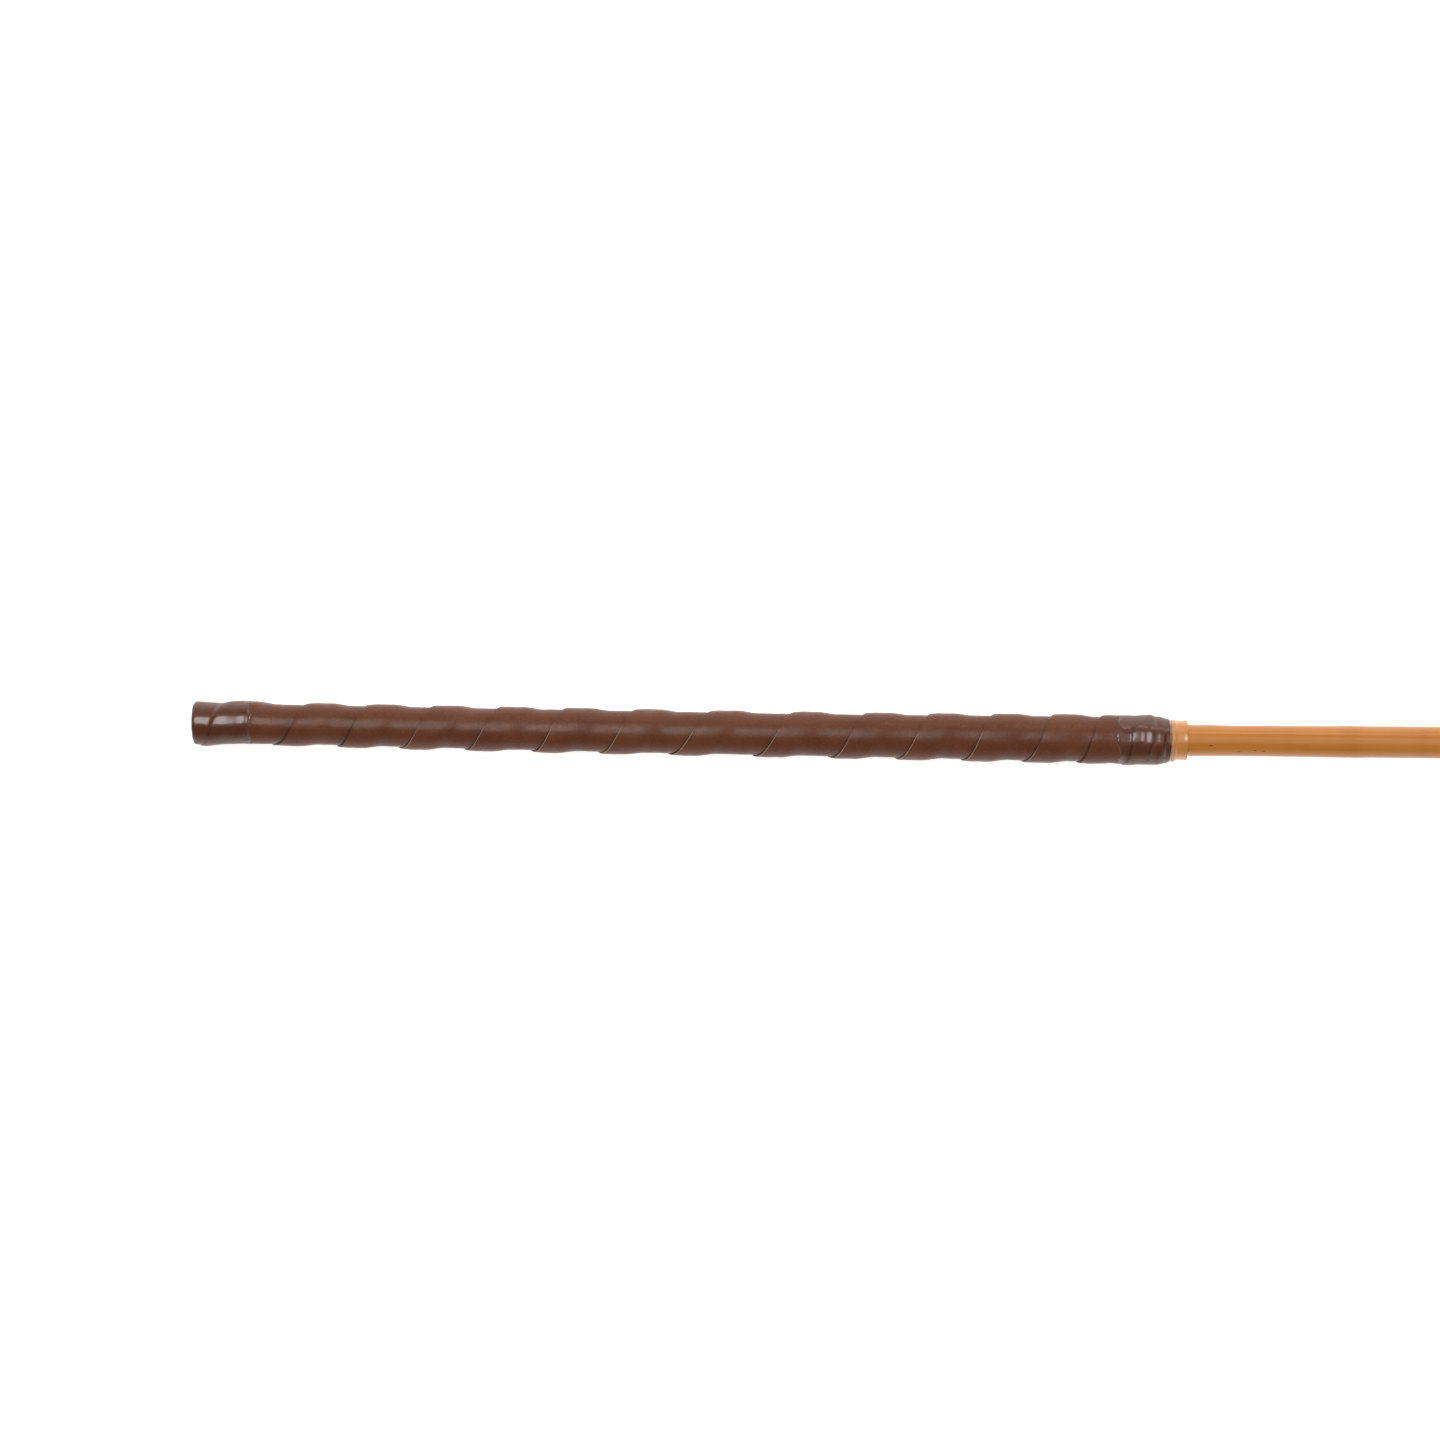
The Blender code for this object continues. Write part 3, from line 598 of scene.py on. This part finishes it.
def strap_stations(turn):
    """Stations across the strap at each turn, close together where its face bends."""
    edge, next_edge = lap_edge(turn), lap_edge(turn + 1)
    lap_end = np.minimum(edge + lap_width(turn), next_edge - 0.0010)
    slope_end = np.minimum(lap_end + LAP_SLOPE, next_edge - 0.0007)
    right = next_edge + lap_width(turn + 1)
    near = [0.0, 0.00005, 0.00012, 0.00022, 0.00040]
    columns = [edge + d for d in near]
    start = edge + 0.0009
    columns += [start + (np.maximum(lap_end, start + 0.0001) - start) * i / 4 for i in range(5)]
    columns += [lap_end + (slope_end - lap_end) * i / 6 for i in range(1, 7)]
    last = next_edge - 0.0005
    columns += [slope_end + (np.maximum(last, slope_end) - slope_end) * i / 4 for i in range(1, 5)]
    columns += [next_edge - 0.00025, next_edge - 0.00008, next_edge + 0.0004]
    columns += [next_edge + 0.0005 + (right - next_edge - 0.0005) * i / 3 for i in range(1, 4)]
    columns = np.maximum.accumulate(np.stack(columns, axis=1), axis=1)
    return np.clip(columns, GRIP_START, GRIP_END)


def make_grip_strap():
    """The lapped strap as one long solid, with raw edges and painted shade in the seams between its turns.
    """
    turn = np.linspace(FIRST_TURN, LAST_TURN, round((LAST_TURN - FIRST_TURN) * 72) + 1)[:, None]
    face = strap_stations(turn[:, 0])
    under = face[:, [0, 6, 10, 13, 16, 19, 21, face.shape[1] - 1]]
    outer = strap_face(turn, face)
    inner = strap_underside(turn, under)
    stations = np.concatenate([face, under[:, ::-1]], axis=1)
    radii = np.concatenate([outer, inner[:, ::-1]], axis=1)
    angle = 2 * math.pi * turn
    points = on_crop(stations, -radii * np.cos(angle), radii * np.sin(angle))
    rows, columns = stations.shape
    faces = grid_faces(rows, columns, wrap_columns=True)
    faces.append(tuple(range(columns))[::-1])
    faces.append(tuple(range((rows - 1) * columns, rows * columns)))
    strap = make_piece("grip_leather_strap", points.reshape(-1, 3), faces, [GRIP_LEATHER], "shaft",
                       ["grip_strap"])
    inset = stations - lap_edge(turn)
    worn = smooth((turn - 2.4) / 0.5) * smooth((12.6 - turn) / 0.8)
    patchy = 0.85 + 0.15 * np.sin(7.3 * turn) + 0.1 * np.sin(23 * turn)
    part = turn - np.floor(turn + 0.5)
    below = smooth((0.36 - part) / 0.12) * smooth((part + 0.45) / 0.10)
    raw = (1 - smooth((inset - 0.00009) / 0.00008)) * worn * patchy * below
    # Painted shade: dark just before the next turn's edge, where the step shades the seam, dark on the
    # exposed edge of the end turns that are not worn raw, and stronger on the -Y side, away from the
    # light.
    before_next = lap_edge(turn + 1) - stations
    crease = np.exp(-np.abs(before_next) / 0.00024)
    crease = np.maximum(crease, 0.6 * (1 - worn) * (1 - smooth(inset / 0.0003)))
    crease = crease * (0.35 + 0.65 * below)
    wet = np.where((stations < BUTT_FILM_END) | (stations > COLLAR_FILM_START), 1.0, 0.0)
    add_attribute(strap, "raw", raw)
    add_attribute(strap, "crease", crease)
    past_film = stations - BUTT_FILM_END
    smear = np.where(past_film > 0, np.exp(-past_film / 0.0060), 0.0)
    add_attribute(strap, "wet", wet)
    add_attribute(strap, "smear", smear)
    sharpen(strap, 50)


def grip_height(stations, angle):
    """Outside of the wound strap at a grid of stations and angles, and of the cane beyond it."""
    part = (angle / (2 * math.pi))[None, :]
    height = np.repeat(cane_radius(stations)[:, None], len(angle), axis=1)
    for k in range(-2, 17):
        turn = part + k
        covered = np.where(turn + 1 > LAST_TURN, GRIP_END + 0.001, lap_edge(turn + 1))
        here = (stations[:, None] >= lap_edge(turn)) & (stations[:, None] < covered)
        here &= (turn >= FIRST_TURN) & (turn <= LAST_TURN)
        here &= (stations[:, None] >= GRIP_START - 0.001) & (stations[:, None] <= GRIP_END)
        face = strap_face(turn, stations[:, None])
        height = np.where(here, np.maximum(height, face), height)
    return height


def shrunk_over(height, step, bridge, blur):
    """Film drawn over a height field: it bridges hollows along the crop, and is then eased."""
    rows = np.arange(len(height))
    reach = int(0.006 / step)
    film = height.copy()
    for shift in range(-reach, reach + 1):
        drop = (shift * step) ** 2 / (2 * bridge)
        film = np.maximum(film, height[np.clip(rows + shift, 0, len(rows) - 1)] - drop)
    for _ in range(blur):
        film = (film + np.roll(film, 1, 1) + np.roll(film, -1, 1)) / 3
        inner = (film[2:] + film[1:-1] + film[:-2]) / 3
        film[1:-1] = inner
    return np.maximum(film, height)


# ---------------------------------------------------------------------------- sleeves and glue

SIDES = 96
ANGLES = np.linspace(0, 2 * math.pi, SIDES, endpoint=False)
FILM_STEP = 0.0002
FILM_LIFT = 0.00003       # between the film and the leather


def film_radii(start, end, bridge, blur):
    """Stations and the film's inner radii between two stations."""
    stations = np.arange(start - 0.006, end + 0.006, FILM_STEP)
    film = shrunk_over(grip_height(stations, ANGLES), FILM_STEP, bridge, blur) + FILM_LIFT
    place = np.stack(np.broadcast_arrays(
        stations[:, None], 0.006 * np.cos(ANGLES), 0.006 * np.sin(ANGLES)), axis=-1)
    film = film + 0.000022 * (1 + wander(22, place, 0.0052))
    keep = (stations >= start - 1e-9) & (stations <= end + 1e-9)
    return stations[keep], film[keep]


def ragged_rim(seed, size):
    circle = np.stack([np.zeros(SIDES), 0.006 * np.cos(ANGLES), 0.006 * np.sin(ANGLES)], axis=-1)
    return size * wander(seed, circle, 0.009, 3)


BUTT_CORNER = 0.0016      # how far the butt's rounded corner reaches along the crop
BUTT_FLAT = 0.0046        # radius of the flat inside it
LIP_HOLE = 0.0032
WALL = 0.00034            # of every film


def butt_film():
    return film_radii(BUTT_CORNER, BUTT_FILM_END, bridge=0.0022, blur=2)


def butt_corner(depth):
    """Rows of stations and radii round the butt's corner, at a depth under the film's face."""
    first = butt_film()[1][0] + WALL - depth
    turn = np.linspace(math.pi / 2, 0, 10)[:, None]
    stations = depth + (BUTT_CORNER - depth) * (1 - np.sin(turn)) + 0 * first
    return stations, BUTT_FLAT + (first - BUTT_FLAT) * np.cos(turn)


def make_butt_sleeve():
    """The film on the butt, drawn in over the end as a lip."""
    stations, inner = butt_film()
    shift = ragged_rim(21, 0.00018)
    grow = smooth((stations - (BUTT_FILM_END - 0.0012)) / 0.0008)[:, None]
    outer = inner + WALL + 0.00016 * grow
    xs = stations[:, None] + shift * grow
    even = np.ones(SIDES)
    face_x, face_r = butt_corner(0.0)
    back_x, back_r = butt_corner(WALL)
    lip = np.linspace(LIP_HOLE, BUTT_FLAT, 5)[:-1]
    rows_x = [0.00025 * even, 0.00006 * even] + [0.0 * even] * len(lip) + list(face_x) + list(xs[1:])
    rows_r = [(LIP_HOLE - 0.0001) * even, (LIP_HOLE - 0.00004) * even]
    rows_r += [r * even for r in lip] + list(face_r) + list(outer[1:])
    rows_x += [xs[-1] + 0.00012, xs[-1] + 0.00012]
    rows_r += [outer[-1] - 0.00012, inner[-1] + 0.00008]
    rows_x += list(xs[:1:-3]) + list(back_x[::-1]) + [WALL * even]
    rows_r += list(inner[:1:-3]) + list(back_r[::-1]) + [LIP_HOLE * even]
    rows_x, rows_r = np.array(rows_x), np.array(rows_r)
    sleeve = ring_shell("butt_film", rows_x, rows_r, [FILM], "shaft", ["butt_sleeve"])
    rim = np.exp(-np.abs(rows_x - xs[-1] - 0.0001) / 0.00022)
    rim = np.maximum(rim, np.where(rows_r < LIP_HOLE + 0.0002, 0.5, 0.0))
    add_attribute(sleeve, "rim", rim)
    sharpen(sleeve, 60)


def open_sleeve(name, node, stations, inner, wall, left_shift, right_shift, thick_on_cane=0.0):
    """A film sleeve open at both ends, whose rims waver."""
    outer = inner + wall
    left = smooth((stations[0] + 0.0012 - stations) / 0.0010)[:, None]
    right = smooth((stations - stations[-1] + 0.0012) / 0.0010)[:, None]
    xs = stations[:, None] + left_shift * left + right_shift * right
    outer = outer + 0.00012 * (left + right)
    rows_x = [xs[0] - 0.00008] + list(xs) + [xs[-1] + 0.00008] + list(xs[::-3])
    rows_r = [inner[0] + 0.0001] + list(outer) + [inner[-1] + 0.0001] + list(inner[::-3])
    rows_x, rows_r = np.array(rows_x), np.array(rows_r)
    sleeve = ring_shell(name, rows_x, rows_r, [FILM], "shaft", [node])
    near = np.minimum(np.abs(rows_x - xs[0] + 0.0001), np.abs(rows_x - xs[-1] - 0.0001))
    add_attribute(sleeve, "rim", np.exp(-near / 0.00022))
    add_attribute(sleeve, "thick", thick_on_cane * smooth((rows_x - GRIP_END) / 0.0006))
    sharpen(sleeve, 60)


def make_collar_sleeve():
    """The film over the strap's tail, which steps down onto the cane."""
    stations, inner = film_radii(COLLAR_FILM_START, COLLAR_FILM_END, bridge=0.0012, blur=2)
    wall = WALL + 0.00080 * smooth((stations - GRIP_END - 0.0004) / 0.0012)[:, None]
    open_sleeve("collar_film", "collar_sleeve", stations, inner, wall,
                ragged_rim(32, 0.00016), ragged_rim(33, 0.00014), 1.0)


def make_tip_sleeve():
    """The film over the whipping, which steps down onto the cane."""
    stations = np.arange(TIP_FILM_START, TIP_FILM_END + 0.00001, 0.00025)
    bound = WHIPPING_RADIUS + THREAD_RADIUS
    ribs = 0.00006 * np.cos(2 * math.pi * (stations - WHIPPING_START) / THREAD_PITCH)
    on_thread = smooth((stations - 0.6070) / 0.0025)
    past_thread = smooth((stations - WHIPPING_END - 0.0002) / 0.0012)
    inner = cane_radius(stations) + (bound + ribs - cane_radius(stations)) * on_thread
    inner = inner - 0.00045 * past_thread + 0.00006
    inner = np.repeat(inner[:, None], SIDES, axis=1)
    place = np.stack(np.broadcast_arrays(
        stations[:, None], 0.006 * np.cos(ANGLES), 0.006 * np.sin(ANGLES)), axis=-1)
    inner = inner + 0.00004 * (1 + wander(41, place, 0.008))
    open_sleeve("tip_film", "tip_sleeve", stations, inner, WALL,
                ragged_rim(42, 0.00014), ragged_rim(43, 0.00014))


def make_bead(name, node, seed, station, base, direction, width=0.0009, height=0.00034, drops=()):
    """A lumpy ring of glue that stands on a base radius beside a film's rim, fatter at its drops,
    which are (angle, spread, size)."""
    around = np.linspace(0, math.pi, 7)
    circle = np.stack([np.zeros(SIDES), 0.006 * np.cos(ANGLES), 0.006 * np.sin(ANGLES)], axis=-1)
    fat = np.clip(0.42 + 0.60 * wander(seed, circle, 0.0030, 2), 0.16, 1.2)
    for angle, spread, size in drops:
        fat = fat + size * np.exp(-(((ANGLES - angle) / spread) ** 2))
    rows_x = [station + direction * (width * fat * (1 - math.cos(a)) / 2 - 0.0001) for a in around]
    rows_r = [base + height * fat * math.sin(a) for a in around]
    rows_x += [station + direction * width * 0.5 * fat]
    rows_r += [base - 0.0002]
    if direction < 0:
        rows_x, rows_r = rows_x[::-1], rows_r[::-1]
    ring_shell(name, np.array(rows_x), np.array(rows_r), [GLUE], "shaft", [node])


def make_beads():
    butt_drops = ((1.74, 0.10, 0.9), (1.98, 0.08, 0.6), (1.50, 0.08, 0.7))
    collar_drops = ((1.72, 0.07, 0.9), (1.53, 0.06, 0.9))
    for name, node, seed, station, direction, drops in (
        ("butt_glue", "butt_glue_bead", 51, BUTT_FILM_END + 0.0001, 1, butt_drops),
        ("collar_glue", "collar_glue_bead", 52, COLLAR_FILM_START - 0.0001, -1, collar_drops),
    ):
        near = np.array([station, station + direction * 0.0005])
        base = np.sort(grip_height(np.sort(near), ANGLES), axis=0)[1]
        make_bead(name, node, seed, station, base, direction, drops=drops)
    for name, node, seed, station, direction in (
        ("collar_fillet", "collar_glue_fillet", 53, COLLAR_FILM_END + 0.0001, 1),
        ("tip_fillet", "tip_glue_fillet", 54, TIP_FILM_START - 0.0001, -1),
    ):
        base = np.full(SIDES, float(cane_radius(station)))
        make_bead(name, node, seed, station, base, direction, 0.0006, 0.00022)
    base = np.full(SIDES, TAIL_RADIUS)
    fill = WHIPPING_RADIUS + THREAD_RADIUS - 0.00045 - TAIL_RADIUS
    make_bead("tip_fill", "tip_glue_fill", 55, TIP_FILM_END + 0.0001, base, 1, 0.0005, fill)


def make_butt_disc():
    """The leather disc in the end of the grip."""
    corner_x, corner_r = butt_corner(WALL + 0.00008)
    middle = np.array([0.03, 0.25, 0.5, 0.75])[:, None] * corner_r[0]
    stations = np.concatenate([corner_x[:1] + 0 * middle, corner_x, [[0.0026] * SIDES, [0.0029] * SIDES]])
    radii = np.concatenate([middle, corner_r, corner_r[-1:], corner_r[-1:] - 0.0003])
    place = np.stack(np.broadcast_arrays(
        stations, radii * np.cos(ANGLES), radii * np.sin(ANGLES)), axis=-1)
    dished = stations + 0.00003 * wander(61, place, 0.004)
    disc = ring_shell("butt_leather_disc", dished, radii, [GRIP_LEATHER], "shaft", ["butt_disc"],
                      False)
    for name, value in (("raw", 0.0), ("crease", 0.0), ("wet", 1.0), ("smear", 0.0)):
        add_attribute(disc, name, np.full(len(disc.data.vertices), value))


# ------------------------------------------------------------------------ the tip and its keeper

THREAD_RADIUS = 0.0005
THREAD_PITCH = 0.00108
WHIPPING_START = 0.6095
WHIPPING_END = 0.6290
TAIL_RADIUS = 0.0043
WHIPPING_RADIUS = TAIL_RADIUS + 0.0001 + THREAD_RADIUS
LEATHER = 0.0018
LEAF_SPACING = 0.00115
FOLD_RADIUS = 0.0017
FOLD_RUN = 0.0090
TAIL_INSIDE = TONGUE_HALF + 0.0001
NECK_HALF_WIDTH = 0.0043
FLAP_HALF_WIDTH = 0.0140
SHOULDER_START = 0.0035
SHOULDER_END = 0.0170
FLAP_LENGTH = LENGTH - HINGE_STATION
SEAM_INSET = 0.0030
STITCH_LENGTH = 0.0027
STITCH_PITCH = 0.0034


def make_whipping():
    """Waxed thread wound over the keeper's tails, with its plies showing."""
    turns = (WHIPPING_END - WHIPPING_START) / THREAD_PITCH
    turn = np.linspace(0, turns, round(turns * 30))
    station = WHIPPING_START + turn * THREAD_PITCH
    angle = 2 * math.pi * turn
    path = on_crop(station, WHIPPING_RADIUS * np.cos(angle), WHIPPING_RADIUS * np.sin(angle))
    points, faces = tube(path, THREAD_RADIUS, 12, ply=3, twist=2 * math.pi / 0.0016)
    make_piece("whipping_thread", points, faces, [WHIPPING_THREAD], "shaft", ["tip_whipping"])


def flap_to_row(along, across, up):
    """Row-frame points from the keeper's own distances: along from the hinge, across and up."""
    along, across, up = np.broadcast_arrays(along, across, up)
    axis = Vector(HINGE["axis"])
    ahead = np.array([axis.y, -axis.x, 0.0])
    side = np.array([axis.x, axis.y, 0.0])
    return np.array(HINGE["pos_m"]) + along[..., None] * ahead + across[..., None] * side + (
        up[..., None] * np.array([0.0, 0.0, 1.0]))


def keeper_line():
    """Along the folded strap: distances from the hinge, heights, and outward directions."""
    centre = FLAP_LENGTH - FOLD_RADIUS - LEATHER / 2
    along = np.concatenate([
        np.arange(TAIL_START - HINGE_STATION, 0.020, 0.0007), np.arange(0.020, centre, 0.0014), [centre]])
    opening = smooth((along - centre + FOLD_RUN) / FOLD_RUN)
    height = LEAF_SPACING + (FOLD_RADIUS - LEAF_SPACING) * opening
    turn = np.linspace(0, math.pi, 25)[1:-1]
    xs = np.concatenate([along, centre + FOLD_RADIUS * np.sin(turn), along[::-1]])
    zs = np.concatenate([height, FOLD_RADIUS * np.cos(turn), -height[::-1]])
    tilt = np.concatenate([np.zeros(len(along)), turn, np.full(len(along), math.pi)])
    return xs, zs, tilt


# Insets from the leather's edge of the points across its face, round its corner and its crease.
FACE_INSETS = (0.00004, 0.00016, 0.00040, 0.0009, 0.00135, 0.00155, 0.00175, 0.0022)
FACE_DEPTHS = (0.00034, 0.00014, 0.00002, 0.0, 0.00003, 0.00014, 0.00003, 0.0)


def leaf_section(half_width):
    """(across, out) points round the leather's section, out from the middle of its thickness."""
    half = LEATHER / 2
    insets, depths = np.array(FACE_INSETS), np.array(FACE_DEPTHS)
    left = np.stack([-half_width + insets, half - depths], axis=1)
    flat = np.linspace(-half_width + 0.0032, half_width - 0.0032, 9)
    middle = np.stack([flat, np.full(9, half)], axis=1)
    face = np.concatenate([left, middle, left[::-1] * (-1, 1)])
    under = np.linspace(half_width - 0.0003, -half_width + 0.0003, 9)
    back = np.stack([under, np.full(9, -half)], axis=1)
    edge_right = [(half_width, 0.0003), (half_width, -0.0005)]
    edge_left = [(-half_width, -0.0005), (-half_width, 0.0003)]
    return np.concatenate([face, edge_right, back, edge_left])


def tail_section(count_face, section):
    """The same number of points as a leaf's section, round a tail pressed to a D."""
    half_angle = math.acos(TAIL_INSIDE / TAIL_RADIUS)
    angle = np.linspace(-half_angle, half_angle, count_face)
    arc = np.stack([TAIL_RADIUS * np.sin(angle), TAIL_RADIUS * np.cos(angle)], axis=1)
    edge = TAIL_RADIUS * math.sin(half_angle)
    rest = section[count_face:].copy()
    rest[:, 0] = np.clip(rest[:, 0], -edge + 0.0002, edge - 0.0002)
    rest[:, 1] = TAIL_INSIDE
    rest[:2, 1] = (TAIL_INSIDE + 0.0001, TAIL_INSIDE + 0.00004)
    rest[-2:, 1] = (TAIL_INSIDE + 0.00004, TAIL_INSIDE + 0.0001)
    return np.concatenate([arc, rest])


def keeper_rows(face_count):
    """Points (along, across, up) round the leather at each place on its line, and how raw each is."""
    rows, raw = [], []
    for x, z, turn in zip(*keeper_line()):
        widening = float(smooth((x - SHOULDER_START) / (SHOULDER_END - SHOULDER_START)))
        section = leaf_section(NECK_HALF_WIDTH + (FLAP_HALF_WIDTH - NECK_HALF_WIDTH) * widening)
        section_x = x + section[:, 1] * math.sin(turn)
        section_z = z + section[:, 1] * math.cos(turn)
        tail = tail_section(face_count, section)
        side = 1.0 if math.cos(turn) > 0 else -1.0
        share = float(smooth((x + 0.0034) / 0.0085))
        across = tail[:, 0] + (section[:, 0] - tail[:, 0]) * share
        up = side * tail[:, 1] + (section_z - side * tail[:, 1]) * share
        along = x + (section_x - x) * share
        rows.append(np.stack([along + 0 * up, across, up], axis=1))
        side_face = np.zeros(len(section))
        side_face[:2] = side_face[face_count - 2:face_count] = 0.75
        side_face[face_count:face_count + 3] = side_face[-3:] = 1.0
        raw.append(side_face)
    rows = np.array(rows)
    waves = 0.00010 * wander(71, rows * (1, 1, 0.2), 0.016) * smooth((rows[..., 0] - 0.004) / 0.01)
    rows[..., 2] += waves
    return rows, raw


def make_keeper():
    """The folded strap from tail to tail, in one piece."""
    face_count = 2 * len(FACE_INSETS) + 9
    rows, raw = keeper_rows(face_count)
    count = rows.shape[1]
    points = flap_to_row(rows[..., 0], rows[..., 1], rows[..., 2]).reshape(-1, 3)
    faces = grid_faces(len(rows), count, wrap_columns=True)
    faces = [face[::-1] for face in faces]
    faces.append(tuple(range(count)))
    faces.append(tuple(range((len(rows) - 1) * count, len(rows) * count))[::-1])
    keeper = make_piece("keeper_leather_loop", points, faces, [KEEPER_LEATHER], None,
                        ["keeper_flap", "keeper_tail_upper", "keeper_tail_lower"])
    add_attribute(keeper, "raw", np.array(raw))
    # Painted shade along the keeper's two pressed crease lines.
    painted_crease_shade = np.zeros((len(rows), count))
    painted_crease_shade[:, [5, face_count - 6]] = 0.55
    add_attribute(keeper, "crease", painted_crease_shade)
    add_place(keeper)
    sharpen(keeper, 55)
    start = flap_to_row(-0.0042, 0.0, 0.0)
    end = flap_to_row(0.0090, 0.0, 0.0)
    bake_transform(keeper)


def stitch_path(middle, way, level):
    """One stitch: up out of its hole, along the leather and down again."""
    share = np.linspace(-1, 1, 11)
    height = LEAF_SPACING + LEATHER / 2 - 0.0004 + 0.00072 * np.sqrt(np.clip(1 - share**6, 0, 1))
    along = middle[0] + way[0] * share * STITCH_LENGTH / 2
    across = middle[1] + way[1] * share * STITCH_LENGTH / 2
    slant = 0.00012 * share
    return flap_to_row(along - way[1] * slant, across + way[0] * slant, level * height)


def make_seam(name, node, start, end):
    """A row of stitches on both faces of the flap."""
    run = np.subtract(end, start)
    length = float(np.linalg.norm(run))
    way = run / length
    count = int(length / STITCH_PITCH)
    stitches = []
    for i in range(count):
        middle = np.array(start) + way * (length - (count - 1) * STITCH_PITCH) / 2 + way * i * STITCH_PITCH
        for level in (1, -1):
            path = stitch_path(middle, way, level)
            stitches.append(tube(path, 0.00036, 10, ply=3, twist=2 * math.pi / 0.0013))
    points, faces = joined(stitches)
    make_piece(name, points, faces, [SEAM_THREAD], "keeper", [node])


def make_seams():
    side = FLAP_HALF_WIDTH - SEAM_INSET
    make_seam("stitches_left", "keeper_seam_left", (0.0185, side), (0.0525, side))
    make_seam("stitches_right", "keeper_seam_right", (0.0185, -side), (0.0525, -side))
    make_seam("stitches_cross", "keeper_seam_cross", (0.0150, -0.0082), (0.0150, 0.0082))


# ------------------------------------------------------------------------- stage, light, camera

CAMERA_STATION = 0.1584
CAMERA_SIDE = 0.00404     # of the crop's centre line
CAMERA_HEIGHT = 1.30      # above the crop's axis
FRAME_WIDTH = 0.432       # seen at the crop's axis
CAMERA_ROLL = 0.0081


def make_floor():
    """The table, touching the film that swells a little past the CAD sleeve."""
    half, top = 4.0, -0.0003
    points = [(-half, -half, top), (half, -half, top), (half, half, top), (-half, half, top)]
    floor = make_piece("floor", points, [(0, 1, 2, 3)], [paint_floor()], flat=True)


def make_camera():
    data = bpy.data.cameras.new("camera")
    data.lens = data.sensor_width * CAMERA_HEIGHT / FRAME_WIDTH
    camera = bpy.data.objects.new("camera", data)
    bpy.context.scene.collection.objects.link(camera)
    camera.location = on_crop(CAMERA_STATION, CAMERA_SIDE, CAMERA_HEIGHT)
    camera.rotation_euler = (0, 0, CAMERA_ROLL)
    bpy.context.scene.camera = camera


# (name, centre, point it faces, size, radiance), with places from the middle of the view.
SOFTBOXES = (
    ("overhead_box", (-0.20, 0.38, 1.45), (-0.20, 0.38, 0.0), (0.64, 0.96), 6.8),
    ("side_panel", (0.10, 1.45, 0.45), (0.10, 0.0, 0.10), (3.6, 0.88), 0.12),
    ("ceiling", (1.05, 0.20, 1.45), (1.05, 0.20, 0.0), (1.6, 1.2), 1.0),
    ("side_strip", (1.05, 1.30, 0.76), (1.05, 0.0, 0.0), (2.0, 0.30), 2.2),
)


def make_softbox(name, centre, towards, size, radiance):
    """A rectangular light that the camera doesn't see."""
    data = bpy.data.lights.new(name, "AREA")
    data.shape = "RECTANGLE"
    data.size, data.size_y = size
    data.energy = radiance * math.pi * size[0] * size[1]
    light = bpy.data.objects.new(name, data)
    bpy.context.scene.collection.objects.link(light)
    light.location = centre
    light.visible_camera = False
    light.rotation_mode = "QUATERNION"
    light.rotation_quaternion = (Vector(towards) - Vector(centre)).to_track_quat("-Z", "Y")


def make_lights():
    middle = Vector(on_crop(CAMERA_STATION, 0.0, 0.0))
    for name, centre, towards, size, radiance in SOFTBOXES:
        make_softbox(name, middle + Vector(centre), middle + Vector(towards), size, radiance)
    bpy.context.scene.world = make_world()
    bpy.context.scene.view_settings.view_transform = "Standard"


# (low, high, value at low, value at high) of the walls' glow by height and towards +Y.
GLOW_BY_HEIGHT = (0.15, 0.45, 0.80, 0.05)
GLOW_BY_SIDE = (0.2, 0.9, 0.0, 0.24)


def make_world():
    """A dim studio whose pale walls are lit near the floor."""
    world = bpy.data.worlds.new("studio")
    world.use_nodes = True
    nodes, links = world.node_tree.nodes, world.node_tree.links
    parts = nodes.new("ShaderNodeSeparateXYZ")
    links.new(nodes.new("ShaderNodeTexCoord").outputs["Generated"], parts.inputs[0])
    total = nodes.new("ShaderNodeMath")
    for index, axis, interpolation, spread in (
        (0, "Z", "SMOOTHSTEP", GLOW_BY_HEIGHT),
        (1, "Y", "LINEAR", GLOW_BY_SIDE),
    ):
        glow = nodes.new("ShaderNodeMapRange")
        glow.interpolation_type = interpolation
        for socket, value in zip(glow.inputs[1:5], spread):
            socket.default_value = value
        links.new(parts.outputs[axis], glow.inputs[0])
        links.new(glow.outputs[0], total.inputs[index])
    links.new(total.outputs[0], nodes["Background"].inputs["Strength"])
    nodes["Background"].inputs["Color"].default_value = (1.0, 0.98, 0.96, 1.0)
    return world


make_camera()
make_lights()
make_floor()
make_cane()
make_grip_strap()
make_butt_disc()
make_butt_sleeve()
make_collar_sleeve()
make_tip_sleeve()
make_beads()
make_whipping()
make_keeper()
make_seams()

underlay = frame["nodes"]["grip_underlay"]
underlay.data.materials.clear()
underlay.data.materials.append(paint_felt())
